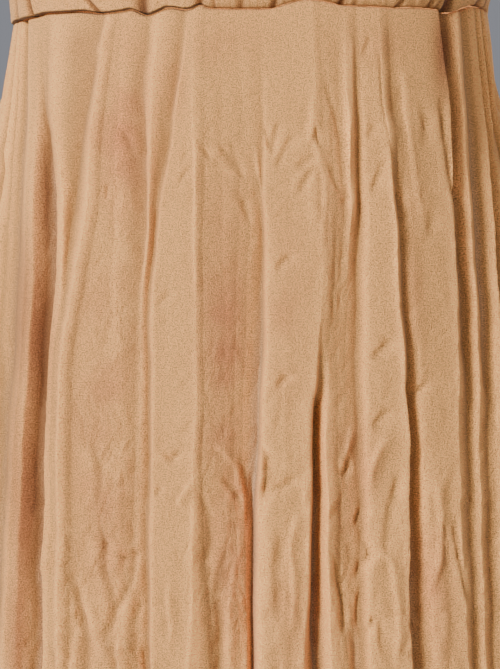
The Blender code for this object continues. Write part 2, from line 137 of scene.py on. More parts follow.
# The creases of the front. Each row is one soft trough or, with a height over 0, one soft ridge:
# its points as (across, drop), the half width over which it fades, and its height.
CREASES = (
    # name, path_mm, half_width_mm, height_mm
    ("long slit", ((37.5, 213), (37, 248), (36.5, 302), (35, 346), (37.5, 385)), 1.9, -6),
    ("short slit at its foot", ((31, 351), (31.5, 359), (32, 385)), 1.2, -3),
    ("centre slit", ((0.5, 258), (1.5, 288), (1, 321), (1.5, 385)), 1.7, -5),
    ("centre curl", ((5.5, 244), (9, 253), (9.5, 263), (7.5, 273), (4.5, 281)), 1.2, -3.3),
    ("centre bulge", ((5, 249), (6, 263), (4, 277)), 2, 3),
    ("right slit", ((92.5, 243), (93, 289), (93.5, 321), (93, 349), (95, 386)), 3.6, -2.4),
    ("right slit floor", ((94.5, 259), (96.5, 300), (98.5, 327), (101, 355)), 1.2, -3),
    ("right slit vee", ((90, 227), (94, 217), (100.5, 209)), 1.2, -2.7),
    ("right slit curl", ((96.5, 333), (93, 343), (87.5, 350)), 1.2, -2.4),
    ("thin crease", ((107.5, 46), (110.5, 60), (112.5, 78), (114.5, 93), (117.5, 110), (120, 132),
        (124, 165)), 1.2, -3),
    ("left hollow floor", ((-118, 58), (-117.5, 86), (-118.5, 112), (-118.5, 168), (-122, 234),
        (-123, 293)), 2.4, -3),
    ("left hollow nick", ((-119.5, 105), (-116.5, 103), (-114, 100)), 1.2, -2.3),
    ("left hollow line", ((-120, 199), (-119, 216), (-119.5, 239)), 1.2, -2.4),
    ("wedge line", ((-107, 83), (-104, 96), (-101, 104), (-100.5, 112), (-102.5, 122)), 1.2, -3),
    ("second rim", ((-81.5, 5), (-84.5, 15), (-89.5, 30), (-93, 39), (-96, 56), (-99, 72),
        (-100.5, 98)), 1.2, 1.8),
    ("left vee", ((-75, 66), (-71, 74), (-66.5, 85), (-63.5, 90)), 1.2, -2.2),
    ("left vee right", ((-61.5, 68), (-59.5, 78), (-57.5, 85)), 1.2, -2.2),
    ("left dart", ((-64, 104), (-62, 111), (-60.5, 117)), 1.2, -2.6),
    ("left nick", ((-81, 98), (-82, 104), (-82.5, 110)), 1.2, -2),
    ("third rim", ((-58, 22), (-59.5, 48), (-57.5, 64), (-57.5, 84), (-58.5, 105)), 1.2, 1.6),
    ("broad rim left", ((-37, 29), (-42.5, 57), (-46, 72), (-48, 88), (-51.5, 109),
        (-53.5, 122)), 1.2, 1.3),
    ("broad rim right", ((-33.5, 68), (-31, 76), (-30.5, 91), (-30.5, 122), (-30, 165)), 1.2, 1.3),
    ("broad star one", ((-29.5, 77), (-26, 81), (-22, 88)), 1.2, -2),
    ("broad star two", ((-29, 90), (-24.5, 94)), 1.2, -1.8),
    ("broad star three", ((-32, 90), (-37, 93), (-41, 100)), 1.2, -1.8),
    ("broad star four", ((-35.5, 81), (-39.5, 87)), 1.2, -1.3),
    ("broad crescent", ((-54, 170), (-51, 166), (-47, 163), (-43, 162)), 1.2, -1.8),
    ("broad nick one", ((-50.5, 252), (-44.5, 254), (-38, 249)), 1.6, -2.8),
    ("broad nick two", ((-54.5, 276), (-51.5, 271), (-48.5, 270)), 1.2, -1.8),
    ("broad ridge", ((-41.5, 281), (-36.5, 273), (-32, 265)), 1.8, 2.4),
    ("broad thin ridge", ((-44.5, 316), (-45, 330), (-44, 341), (-43, 359)), 1.2, 1.8),
    ("middle fan one", ((-18, 77), (-13.5, 84), (-10, 94)), 1.2, -2),
    ("middle fan two", ((-12, 73), (-9.5, 86), (-2.5, 100)), 1.2, -2),
    ("middle fan three", ((-5.5, 105), (-3, 114), (0, 124)), 1.2, -2.7),
    ("middle nick", ((-16.5, 264), (-11, 270), (-4.5, 280)), 1.8, -3),
    ("middle trough", ((-7, 250), (-3, 263), (-1.5, 278), (-2, 296)), 2, -3),
    ("middle slit", ((-19, 327), (-17, 346), (-18, 385)), 2, -4),
    ("field nick one", ((-85.5, 303), (-81.5, 302), (-78, 300)), 1.8, -3),
    ("field nick two", ((-79, 307), (-72, 309), (-65.5, 308), (-58.5, 304)), 1.8, -3),
    ("field wave", ((-82, 291), (-81.5, 314), (-77.5, 326), (-76, 342), (-78, 350)), 1.8, -2.2),
    ("field trough", ((-93.5, 330), (-91.5, 342), (-91, 386)), 2, -2.4),
    ("field ridge", ((-95, 344), (-96, 360), (-98.5, 386)), 1.2, 2.4),
    ("field pleat one", ((-65, 344), (-62.5, 338), (-60, 331)), 1.4, -2),
    ("field pleat two", ((-74.5, 361), (-75, 386)), 1.2, -3),
    ("field pleat three", ((-60, 355), (-57, 385)), 1.4, -3),
    ("field knot", ((-64, 130), (-62, 137), (-60, 146)), 1.4, -2),
    ("centre vee right", ((12, 85), (13.5, 72), (17, 63)), 1.2, -2),
    ("centre vee left", ((7.5, 65), (9.5, 73), (11.5, 83)), 1.2, -1.8),
    ("centre rib", ((2.5, 78), (5.5, 97), (7.5, 119)), 1.2, 2.2),
    ("centre ray one", ((13, 94), (21, 77), (27, 70)), 1.2, -1.8),
    ("centre ray two", ((25, 93), (30.5, 87), (37.5, 83)), 1.2, -2.2),
    ("centre ray three", ((26, 107), (31.5, 97), (37.5, 88)), 1.2, -2.3),
    ("centre ray four", ((32.5, 81), (35, 76), (36.5, 71)), 1.2, -1.8),
    ("centre rib right", ((35, 50), (34.5, 82)), 1.3, 1.8),
    ("centre dark ray", ((37, 66), (38.5, 76), (41.5, 82)), 1.2, -2.2),
    ("centre long ray", ((40.5, 39), (48, 60), (52, 76), (54, 98)), 2, -1.4),
    ("centre edge", ((39.5, 87), (39.5, 103), (39.5, 124)), 1.4, -2),
    ("centre nick one", ((24, 139), (18, 144), (13, 150)), 1.8, -2.6),
    ("centre nick two", ((22, 207), (17, 211), (14, 215)), 1.8, -2.6),
    ("knot ray", ((43.5, 87), (50, 103), (53.5, 107)), 1.6, -1.9),
    ("knot", ((53.5, 100), (55, 107), (53.5, 110), (48.5, 110)), 1.2, -2.7),
    ("knot rib", ((56, 51), (55.5, 84), (55, 106)), 1.2, 2),
    ("fork", ((68, 15), (67, 21), (63, 28)), 1.6, -1.6),
    ("fork foot", ((63, 27), (62, 52), (62, 76), (61, 123)), 1.4, -0.8),
    ("right fold edge", ((71.5, 22), (75, 31), (75.5, 47), (78, 68), (80.5, 84),
        (81.5, 109)), 1.6, -1.8),
    ("right fold nick one", ((66, 74), (69, 69), (71, 65)), 1.8, -1.8),
    ("right fold nick two", ((68, 108), (72, 96), (76, 84)), 1.8, -2),
    ("right fold nick three", ((67.5, 200), (73, 193), (80, 187)), 1.8, -2.8),
    ("right fold nick four", ((67, 238), (72, 232), (78, 225)), 1.8, -2.8),
    ("right fold nick five", ((81.5, 260), (81, 280)), 1.2, -1.3),
    ("right dart", ((86.5, 39), (85, 51), (85.5, 63), (86.5, 73)), 1.6, -2.6),
    ("right rib", ((88, 31), (87.5, 43), (89.5, 67), (93.5, 100), (97, 123)), 1.4, 1.8),
    ("right line", ((97, 52), (100, 65), (99, 80)), 1.2, -2.2),
    ("right wedge", ((81.5, 100), (86.5, 123)), 1.8, -2.9),
    ("right nick", ((103.5, 114), (102.5, 121), (101, 129)), 1.6, -1.8),
    ("field ray one", ((-65, 319), (-75.5, 338), (-82.5, 358)), 2.2, -2.4),
    ("field ray two", ((-58.5, 306), (-65.5, 331), (-72, 355), (-75.5, 384)), 2, 1.7),
    ("field ray three", ((-95, 329), (-86, 346), (-82, 368)), 2, 2),
    ("field ray four", ((-101, 315), (-96, 331), (-93, 352)), 1.8, -2.6),
    ("field ray five", ((-90, 240), (-84, 262), (-86, 284)), 2, -1.6),
    ("strip edge", ((-55.8, 190), (-56, 220), (-56, 260), (-56, 320), (-56, 388)), 1.2, -0.8),
    ("strip rim", ((-53.4, 140), (-53.8, 200), (-54, 260), (-54, 320), (-54, 388)), 1, 0.6),
    ("middle bulge", ((-29, 247), (-17, 248), (-8, 259), (-3, 275), (-3, 296)), 1.8, 1.4),
    ("middle bulge foot", ((-29, 270), (-23, 286), (-22.5, 302), (-29, 320)), 2, -2.2),
    ("middle ray", ((-12, 300), (-17, 318), (-21, 340)), 2, -2),
    ("middle ray ridge", ((-6, 300), (-10, 322), (-12, 350), (-11, 380)), 2.2, 1.8),
    ("centre ray low", ((27, 262), (19, 268), (9, 271)), 1.8, -2.4),
    ("centre drape", ((26, 280), (22, 302), (24, 330), (22, 352)), 2.4, 2.2),
    ("centre drape foot", ((17, 292), (14, 318), (16, 344)), 2.4, -2.0),
    ("knot blob", ((60, 232), (56, 240), (53, 252), (52, 262)), 1.8, 2.2),
    ("right blob", ((80, 240), (72, 247), (66, 262), (66, 276)), 2.2, 3.2),
    ("right blob foot", ((84, 262), (78, 280), (75, 300), (76, 322)), 2.2, -1.8),
    ("right drape", ((72, 300), (79, 316), (82, 340), (80, 372)), 2.2, 2.2),
    ("last drape", ((102, 262), (107, 284), (106, 306), (100, 330)), 2.4, 1.8),
    ("last drape foot", ((112, 262), (109, 300), (112, 340), (110, 376)), 2.4, -1.1),
    ("knot wall", ((57, 12), (57.5, 60), (58.5, 104), (58.5, 125)), 2.2, 1.5),
    ("strip wall", ((-55, 60), (-56.5, 100), (-58.5, 130), (-59, 200), (-59.5, 240)), 2.6, 1.4),
    ("right groove fill", ((81, 55), (84, 110), (88, 170), (90, 215)), 4.5, 2.8),
    ("zig", ((66, 278), (60.5, 285), (59, 291), (58, 294)), 1.6, -3.6),
    ("zag", ((59.5, 290), (63, 298), (66, 304), (66, 308), (62, 313), (59, 318),
        (59.5, 323)), 1.6, -3.8),
    ("zag foot", ((61.5, 324), (60, 341), (60, 351)), 1.8, -3.2),
    ("right pleat one", ((69, 338), (67.5, 345), (63, 353)), 1.3, -3),
    ("right pleat two", ((71.5, 339), (72.5, 352), (74, 366)), 1.2, -2.5),
    ("narrow fold nick", ((55, 251), (54, 260), (51, 266)), 1.6, -3.2),
    ("narrow fold edge", ((46, 305), (48.5, 317), (51, 333), (53, 357)), 1.6, -2.9),
    ("last fold line", ((113.5, 283), (116, 301), (118.5, 318), (121.5, 338)), 1.2, -2.6),
)


def linear(hex_colour):
    """An sRGB hex colour as linear red, green and blue."""
    parts = [int(hex_colour[i : i + 2], 16) / 255 for i in (1, 3, 5)]
    return tuple(p / 12.92 if p <= 0.04045 else ((p + 0.055) / 1.055) ** 2.4 for p in parts)


def length_setting(name, description, default, least=0.0):
    """A setting in metres."""
    return bpy.props.FloatProperty(
        name=name,
        description=description,
        default=default,
        min=least,
        subtype="DISTANCE",
        unit="LENGTH",
    )


def power_setting(name, description, default):
    """A setting in watts."""
    return bpy.props.FloatProperty(
        name=name, description=description, default=default, min=0.0, unit="POWER"
    )


def colour_setting(name, description, hex_colour):
    """A setting that is a colour."""
    return bpy.props.FloatVectorProperty(
        name=name, description=description, default=linear(hex_colour), size=3, subtype="COLOR"
    )


class SkirtShape(bpy.types.PropertyGroup):
    """The sizes of the cloth's form."""

    rounding: length_setting(
        "Fold rounding", "Half the length over which a fold's edge turns", 0.35 * MM
    )
    waver: length_setting("Fold waver", "How far a fold's line strays to each side", 0.5 * MM)
    crinkle: length_setting(
        "Crinkle", "Height of the small crinkles all over the crepe", 0.28 * MM
    )
    crumple: length_setting(
        "Crumple", "Height of the small facets between the creases", 1.1 * MM
    )
    hem_turning: length_setting(
        "Hem turning", "How far the hem is turned up inside", 14 * MM
    )
    stitch_length: length_setting(
        "Stitch length", "From one stitch of the hem to the next", 3.0 * MM, 1 * MM
    )


class SkirtCrepe(bpy.types.PropertyGroup):
    """The crepe's own colour and grain, with the colours of the shade and light painted on it."""

    tan: colour_setting("Tan", "The crepe's own colour", "#F2B169")
    # Painted shade: the warmer, darker colour put deep in a fold and in the band's pinches, where little
    # light reaches.
    hollow: colour_setting(
        "Hollow", "The warmer colour that the crepe takes deep in a fold", "#B56D45"
    )
    # Partly the crepe's own duller, redder cast where it lies close, and partly painted shade on the front's
    # fields and hollows.
    mauve: colour_setting(
        "Mauve", "The duller, redder tan where the thin crepe lies close", "#D28A58"
    )
    # Painted light: a paler colour that lifts the shade off the two walls of a narrow fold.
    slit: colour_setting(
        "Slit", "The paler colour of the two walls of a narrow fold", "#E6BC94"
    )
    grain: length_setting("Grain", "Spacing of the crepe's pebbled grain", 1.0 * MM, 0.1 * MM)


class SkirtStage(bpy.types.PropertyGroup):
    """The studio."""

    distance: length_setting(
        "Camera distance", "From the front of the skirt to the camera", 1.9, 0.2
    )
    key: power_setting("Key light", "Power of the soft light at the front left", 118.0)
    fill: power_setting("Fill light", "Power of the soft light at the front right", 6.0)
    back: power_setting("Back light", "Power of the soft lights behind the skirt", 70.0)
    floor: colour_setting("Floor", "Colour of the floor", "#E9E7E3")


def ramp(values, start, end):
    """How far each value is on its way from the start, 0, to the end, 1."""
    return np.clip((values - start) / (end - start), 0, 1)


def uneven(step, amount, stride, seed=0.0):
    """A small steady unevenness that differs from step to step."""
    return amount * math.sin(stride * step + seed)


def smooth_between(places, values, at):
    """The value at a place, on a smooth curve through the values at the given places."""
    places = np.asarray(places, float)
    values = np.asarray(values, float)
    slopes = np.gradient(values, places, axis=0)
    left = int(np.clip(np.searchsorted(places, at) - 1, 0, len(places) - 2))
    span = places[left + 1] - places[left]
    t = (at - places[left]) / span
    return (
        (2 * t**3 - 3 * t**2 + 1) * values[left]
        + (t**3 - 2 * t**2 + t) * span * slopes[left]
        + (3 * t**2 - 2 * t**3) * values[left + 1]
        + (t**3 - t**2) * span * slopes[left + 1]
    )


def half_sizes(drop_mm):
    """The body form's half width and half depth at a drop, in metres."""
    drops = [ring[0] for ring in RINGS]
    sizes = [ring[1:] for ring in RINGS]
    return smooth_between(drops, sizes, drop_mm) * MM


def oval_radius(angles, drop_mm):
    """The body form's radius at each angle of a drop, in metres."""
    half_width, half_depth = half_sizes(drop_mm)
    across = np.abs(np.sin(np.radians(angles))) / half_width
    forward = np.abs(np.cos(np.radians(angles))) / half_depth
    return (across**OVAL_POWER + forward**OVAL_POWER) ** (-1 / OVAL_POWER)


def angle_of(across_mm, drop_mm):
    """The angle of the front's point that lies so far across from the centre."""
    half_width, half_depth = half_sizes(drop_mm)
    share = abs(across_mm) * MM / half_width
    forward = half_depth * (1 - share**OVAL_POWER) ** (1 / OVAL_POWER)
    return math.degrees(math.atan2(across_mm * MM, forward))


def even_folds(count, starts, ends, seed):
    """Fold lines between two angles at each drop: a crest and a hollow for each fold."""
    steps = 2 * count
    angles = []
    heights = []
    for step in range(1, steps):
        share = (step + uneven(step, *UNEVEN_PLACE, seed)) / steps
        deeper = 1 + uneven(step, *UNEVEN_HEIGHT, seed)
        side = -1 if step % 2 else 1
        angles.append([a + (b - a) * share for a, b in zip(starts, ends)])
        heights.append([side * deeper * height for height in FOLD_HEIGHTS_MM])
    return angles, heights


def fold_lines():
    """The angle and height of every fold line at each of LINE_DROPS_MM, all the way round."""
    front = [
        [angle_of(across, drop) for across, drop in zip(places, LINE_DROPS_MM)]
        for _, places, _ in FRONT_LINES
    ]
    heights = [list(out) for _, _, out in FRONT_LINES]
    drops = len(LINE_DROPS_MM)
    right_seam = ([90 - SEAM_FLAT] * drops, [90 + SEAM_FLAT] * drops)
    left_seam = ([270 - SEAM_FLAT] * drops, [270 + SEAM_FLAT] * drops)
    front_end = [angle + 360 for angle in front[0]]
    angles = list(front)
    for count, start, end, seed in (
        (SIDE_FOLDS, front[-1], right_seam[0], 0.4),
        (BACK_FOLDS, right_seam[1], left_seam[0], 1.3),
        (SIDE_FOLDS, left_seam[1], front_end, 2.9),
    ):
        more_angles, more_heights = even_folds(count, start, end, seed)
        angles += more_angles
        heights += more_heights
    for seam in (*right_seam, *left_seam):
        angles.append(seam)
        heights.append([0] * drops)
    order = np.argsort(np.array(angles)[:, -1])
    return np.array(angles)[order].T, np.array(heights, float)[order].T


LINE_ANGLES, LINE_HEIGHTS = fold_lines()


def lines_at(drop_mm):
    """The angle and the height in mm of every fold line at a drop."""
    low = LINE_DROPS_MM[-1]
    if drop_mm <= low:
        places = smooth_between(LINE_DROPS_MM, LINE_ANGLES, max(drop_mm, 0))
        heights = smooth_between(LINE_DROPS_MM, LINE_HEIGHTS, max(drop_mm, 0))
        return places, heights
    share = (drop_mm - low) / (PANEL_LENGTH_MM - low)
    heights = np.clip(LINE_HEIGHTS[-1] * (1 + (HEM_DEEPER - 1) * share), -HEM_DEEPEST, HEM_DEEPEST)
    return LINE_ANGLES[-1], heights


# The panels: the node that each stands for, the angle of its middle, and its spacings in mm: of
# its rows in the fine stretch, of its rows at the hem, and of its columns at LEVEL_OF_SPACING_MM
# within the front's table and outside it.
PANELS = {
    "crepe_front": {
        "node": "skirt_front",
        "middle": 0,
        "rows": 1.9,
        "hem_rows": 14.0,
        "table": 1.35,
        "outside": 4.2,
    },
    "crepe_back": {
        "node": "skirt_back",
        "middle": 180,
        "rows": 2.8,
        "hem_rows": 10.0,
        "table": 2.4,
        "outside": 2.4,
    },
}
FINE_STRETCH_MM = 392
ROW_GROWTH = 1.15
LEVEL_OF_SPACING_MM = 240
# A column stands this close to each side of every fold line, so that its edge is crisp.
CRISP_MM = 0.4
CRISP_MOST_SHARE = 0.2
# How far the edges curl in, and over which drop or turn they do.
SEAM_CURL_MM = 2.2
SEAM_CURL_DROP_MM = 0.9
SEAM_EDGE_DROPS_MM = (0, 0.25, 0.5, SEAM_CURL_DROP_MM)
SIDE_CURL_MM = 1.6
SIDE_CURL_TURN = 0.5
# The hem: its radius, the rows round its edge, and the rows up inside with the share of its
# turning at which they start. CLOTH_ROUND_HEM is how far those rows lie along the flat cloth.
HEM_RADIUS_MM = 0.9
HEM_ROUND_TURNS = (45, 90, 135, 180)
HEM_INNER_ROWS = 4
HEM_INNER_START = 0.1
HEM_ROWS = len(HEM_ROUND_TURNS) + HEM_INNER_ROWS
CLOTH_ROUND_HEM = (1 * MM, 20 * MM)

# How far the waist seam rises over its level, across the front.
SEAM_RISES = (
    # across_mm, rise_mm
    (-130, -0.8), (-124, -0.5), (-118, 0.6), (-110, 0.2), (-93.5, 0.1), (-86.5, -1.8),
    (-79.5, -1.6), (-71.5, -0.7), (-68.5, 0.2), (-65.5, -0.6), (-61.5, -3.3), (-57, -3.4),
    (-52, -1.6), (-48, 0.7), (-42.5, 0.4), (-37, -0.8), (-33, -0.2), (-29, 2.2), (-27, 1.8),
    (-25, 0.4), (-20, -0.1), (0, -0.3), (12.5, -0.1), (20, 2.5), (26.5, 4.5), (34, 5.2),
    (41, 4.6), (54, 2.1), (71, 1.8), (82, 1.3), (91.5, 2.4), (103.5, 2.3), (109.5, 2.0),
    (113, 0.5), (117.5, 1.1), (121.5, 3.5), (129.5, 7.0),
)
SEAM_RISE_FADE_MM = 28
SEAM_RISE_SIDES_MM = (-1, 0, 1)
# Round the back it rises and falls evenly.
BACK_RISE_MM = 0.8
BACK_RISES_ROUND = 14
# Right of this place the panel's edge lies in front of the band, and left of it behind.
PANEL_IN_FRONT_FROM_MM = -26
PANEL_IN_FRONT_OVER_MM = 2.0


def row_drops(panel):
    """The drops of a panel's rows: close near the seam, even, then growing towards the hem."""
    step = panel["rows"]
    last = PANEL_LENGTH_MM - HEM_RADIUS_MM
    drops = list(SEAM_EDGE_DROPS_MM)
    drops += list(np.arange(SEAM_CURL_DROP_MM + step, FINE_STRETCH_MM, step))
    while drops[-1] + step < last:
        drops.append(drops[-1] + step)
        step = min(step * ROW_GROWTH, panel["hem_rows"])
    drops.append(last)
    return drops


def panel_lines(middle):
    """Which fold lines lie on a panel, and by how many turns each one's angle is moved to it."""
    lines = LINE_ANGLES[-1]
    turned = (lines - middle + 180) % 360 - 180
    inside = np.where(np.abs(turned) < 90 - SEAM_FLAT / 2)[0]
    inside = inside[np.argsort(turned[inside])]
    return inside, turned[inside] + middle - lines[inside]


def column_shares(panel):
    """For each column of a panel, the fold line at its left and its share of the way to the next."""
    middle = panel["middle"]
    inside, moves = panel_lines(middle)
    places, _ = lines_at(LEVEL_OF_SPACING_MM)
    angles = np.concatenate([[middle - 90], places[inside] + moves, [middle + 90]])
    radius = half_sizes(LEVEL_OF_SPACING_MM).mean() / MM
    last_place = FRONT_LINES[-1][1][LINE_DROPS_MM.index(LEVEL_OF_SPACING_MM)]
    table_end = angle_of(last_place, LEVEL_OF_SPACING_MM)
    shares = []
    for left, (a, b) in enumerate(zip(angles[:-1], angles[1:])):
        within = middle == 0 and abs((a + b) / 2) < table_end
        spacing = panel["table" if within else "outside"]
        length = math.radians(b - a) * radius
        near = min(CRISP_MM / length, CRISP_MOST_SHARE)
        count = max(1, round(length * (1 - 2 * near) / spacing))
        shares.append((left, 0.0))
        shares += [(left, near + (1 - 2 * near) * step / count) for step in range(count + 1)]
    shares.append((len(angles) - 2, 1.0))
    return np.array(shares)


# A corner is rounded by the mean of its heights at these shares of a turn.
ROUNDING_SHARES = (-1, -0.5, 0, 0.5, 1)


def rounded(angles, places, heights, turn):
    """The heights of the fold lines at each angle, with each corner rounded over a turn."""
    weight = 1 / len(ROUNDING_SHARES)
    near = [
        weight * np.interp(angles + share * turn, places, heights, period=360)
        for share in ROUNDING_SHARES
    ]
    return np.sum(near, axis=0)


# The power in a crease's profile: at 2 its line is round, and under that it is folded sharp.
CREASE_SHARPNESS = 1.1
# How many half widths a crease reaches, and the least and most of its length that fades at an end.
CREASE_REACH = 4
CREASE_FADE_SHARE = 3
CREASE_FADE_MM = (1, 14)


def stroke(across, drop, path, half_width, height):
    """The height that one crease adds at each point, fading to both its ends and sides."""
    added = np.zeros(across.shape)
    path = np.array(path, float)
    reach = CREASE_REACH * half_width
    low, high = path.min(0) - reach, path.max(0) + reach
    near = (across > low[0]) & (across < high[0]) & (drop > low[1]) & (drop < high[1])
    if not near.any():
        return added
    points = np.stack([across[near], drop[near]], axis=1)
    lengths = np.linalg.norm(np.diff(path, axis=0), axis=1)
    best = np.full(len(points), np.inf)
    along = np.zeros(len(points))
    for start, a, b, length in zip(np.cumsum(lengths) - lengths, path[:-1], path[1:], lengths):
        t = np.clip((points - a) @ (b - a) / length**2, 0, 1)
        away = np.linalg.norm(points - a - t[:, None] * (b - a), axis=1)
        nearer = away < best
        best[nearer] = away[nearer]
        along[nearer] = start + t[nearer] * length
    whole = lengths.sum()
    fade = np.clip(whole / CREASE_FADE_SHARE, *CREASE_FADE_MM)
    ends = ramp(np.minimum(along, whole - along), 0, fade)
    profile = np.exp(-((best / half_width) ** CREASE_SHARPNESS))
    added[near] = height * profile * (3 * ends**2 - 2 * ends**3)
    return added


# Where the front's creases come again on the rest of the skirt, a little lower in relief: the
# angle that takes their centre, how far lower they lie, how much longer and wider they are, how
# close they stand, and 1, or -1 where they are mirrored.
CREASE_COPIES = (
    # panel, angle, lower_mm, longer, wider, closer, side
    ("crepe_front", -78, 20, 1.0, 1.6, 0.55, -1),
    ("crepe_front", 78, -10, 1.0, 1.6, 0.55, -1),
    ("crepe_front", -20, 330, 1.7, 3.0, 0.9, -1),
    ("crepe_front", 25, 360, 1.6, 3.0, 0.9, 1),
    ("crepe_back", 150, 0, 1.0, 1.4, 0.9, -1),
    ("crepe_back", 215, 12, 1.0, 1.4, 0.9, 1),
    ("crepe_back", 180, 340, 1.7, 3.0, 0.9, -1),
)
COPY_HEIGHT = 0.8

# The cloth's small relief is made of lumps: their width and length in mm, and the slice of the
# noise that they are cut from.
LUMPS = {
    "crinkle bend": (31, 47, 5.3),
    "coarse crinkle": (9, 21, 0.7),
    "fine crinkle": (4, 8, 9.1),
    "facet bend": (21, 33, 8.8),
    "facet": (15, 20, 4.4),
    "hang": (26, 70, 3.9),
}
# A crinkle is a ridge where its noise is near 0: the level that it falls from, and its share.
COARSE_RIDGE = (0.35, 1.6)
FINE_RIDGE = (0.3, 0.5)
COARSE_STRAY = 1.4
# A facet: how near its rim it starts to fall, how far it is lifted, how much it leans, and how
# its neighbours' leans are mixed.
FACET_RIM = 0.2
FACET_LIFT = 0.3
FACET_LEAN = 1.2
FACET_MIXING = 3.7
# The seed of the leans, without which they would differ each time.
FACET_SEED = 5
HANG_MM = 0.7


def lump_place(kind, along_mm, drop_mm, stray_across=0.0, stray_down=0.0):
    """The place in the noise of a point of the cloth, for one kind of lump."""
    width, length, layer = LUMPS[kind]
    return Vector((along_mm / width + stray_across, drop_mm / length + stray_down, layer))


def ridge(value, level, share):
    """A sharp ridge where the value passes through 0."""
    return (level - abs(value)) * share


def crinkle(along_mm, drop_mm):
    """Small sharp-edged crinkles, longer down the cloth than across it, from -1 to 1."""
    bend = noise.noise(lump_place("crinkle bend", along_mm, drop_mm))
    coarse = noise.noise(lump_place("coarse crinkle", along_mm, drop_mm, COARSE_STRAY * bend))
    fine = noise.noise(lump_place("fine crinkle", along_mm, drop_mm, 0.0, bend))
    return ridge(coarse, *COARSE_RIDGE) + ridge(fine, *FINE_RIDGE)


def crumple(along_mm, drop_mm):
    """Small facets that lean different ways and meet in creases, from -1 to 1."""
    bend = noise.noise(lump_place("facet bend", along_mm, drop_mm))
    place = lump_place("facet", along_mm, drop_mm, bend, -bend)
    away, spots = noise.voronoi(place)
    inside = min((away[1] - away[0]) / FACET_RIM, 1)
    lean = noise.noise_vector(spots[0] * FACET_MIXING)
    offset = place - spots[0]
    return inside * (FACET_LIFT + FACET_LEAN * offset.x * lean.x + FACET_LEAN * offset.y * lean.y)


def hang(along_mm, drop_mm):
    """The broad uneven hang of the cloth, from -1 to 1."""
    return noise.noise(lump_place("hang", along_mm, drop_mm))


def laid_lengths(angles, radii_mm, folds):
    """How far each point lies along its row of folded cloth from the panel's middle, in mm."""
    around = np.radians(np.diff(angles, axis=1)) * radii_mm[:, 1:]
    lengths = np.cumsum(np.hypot(around, np.diff(folds, axis=1)), axis=1)
    lengths = np.pad(lengths, ((0, 0), (1, 0)))
    return lengths - lengths[:, [lengths.shape[1] // 2]]


# A fold's line strays in two waves, and less near the side seams and near the waist.
STRAY_WAVES = (
    # drop_mm, turn, strength, start
    (23, 9, 1.0, 0.0),
    (9.5, -5, 0.7, 1.0),
)
STRAY_FROM_SIDE = 6
STRAY_FULL_DROP_MM = 60
HEM_ROUNDER = 3
# How loose the cloth is at a drop, from taut at the seam to looser still below the hips.
LOOSE_LEAST = 0.12
LOOSE_FULL_DROP_MM = 120
LOOSER = 0.7
LOOSER_DROPS_MM = (200, 300)


def panel_form(shape, name):
    """A panel's points row by row, as angles and heights, with what its finish is worked out from."""
    panel = PANELS[name]
    middle = panel["middle"]
    shares = column_shares(panel)
    inside, moves = panel_lines(middle)
    left = shares[:, 0].astype(int)
    share = shares[:, 1]
    drops = row_drops(panel)
    low = LINE_DROPS_MM[-1]
    rows = []
    for drop in drops:
        places, heights = lines_at(drop)
        reach = 90 - math.degrees(SEAM_GAP / 2 / half_sizes(drop)[0])
        ends = np.concatenate([[middle - reach], places[inside] + moves, [middle + reach]])
        at = ends[left] * (1 - share) + ends[np.minimum(left + 1, len(ends) - 1)] * share
        radius = oval_radius(at, drop)
        edge = ramp(reach - np.abs(at - middle), 0, STRAY_FROM_SIDE)
        strays = sum(
            strength * np.sin(drop / long + at / turn + start)
            for long, turn, strength, start in STRAY_WAVES
        )
        waver = np.degrees(shape.waver / radius) * strays * edge * ramp(drop, 0, STRAY_FULL_DROP_MM)
        moved = at + waver
        corner = math.degrees(shape.rounding / radius.mean())
        if drop > low:
            corner *= 1 + HEM_ROUNDER * (drop - low) / (PANEL_LENGTH_MM - low)
        out = rounded(at, places, heights, corner)
        across = (radius / MM + out) * np.sin(np.radians(moved))
        arc = np.radians(moved - middle) * half_sizes(drop).mean() / MM
        rows.append((moved, out, radius / MM, across, arc))
    angles, outs, radii, acrosses, arcs = map(np.array, zip(*rows))
    levels = np.repeat(np.array(drops, float)[:, None], angles.shape[1], axis=1)
    folds = outs.copy()
    lengths = laid_lengths(angles, radii, folds)
    if middle == 0:
        for _, path, half_width, height in CREASES:
            outs += stroke(acrosses, levels, path, half_width, height)
    for copied_to, angle, lower, longer, wider, closer, side in CREASE_COPIES:
        if copied_to != name:
            continue
        centre = np.radians(angle - middle) * half_sizes(LEVEL_OF_SPACING_MM).mean() / MM
        for _, path, half_width, height in CREASES:
            moved = [(centre + side * x * closer, lower + y * longer) for x, y in path]
            outs += stroke(arcs, levels, moved, half_width * wider, height * COPY_HEIGHT)
    loose = np.clip(levels / LOOSE_FULL_DROP_MM, LOOSE_LEAST, 1)
    loose = loose + LOOSER * ramp(levels, *LOOSER_DROPS_MM)
    spots = zip(arcs.ravel() + middle, levels.ravel())
    relief = [(crinkle(a, d), crumple(a, d), hang(a, d)) for a, d in spots]
    small, facets, broad = np.array(relief).T.reshape(3, *arcs.shape)
    small_out = small * shape.crinkle / MM + facets * shape.crumple / MM + broad * HANG_MM
    return SimpleNamespace(
        drops=drops,
        angles=angles,
        levels=levels,
        lengths=lengths,
        folds=folds,
        creased=outs,
        outs=outs + loose * small_out,
        acrosses=acrosses,
        loose=loose,
    )


def in_front(across_mm):
    """From 0, where the panel's edge is tucked behind the band, to 1, where it lies in front."""
    return 1 / (1 + np.exp(-(across_mm - PANEL_IN_FRONT_FROM_MM) / PANEL_IN_FRONT_OVER_MM))


def seam_rise(across_mm):
    """How far the waist seam rises over its level, in mm, at a place across the front."""
    across, rises = zip(*SEAM_RISES)
    return np.mean([np.interp(across_mm + side, across, rises) for side in SEAM_RISE_SIDES_MM], axis=0)


def back_rise(angles):
    """How far the waist seam rises over its level, in mm, at an angle of the back."""
    return BACK_RISE_MM * np.sin(np.radians(angles * BACK_RISES_ROUND))
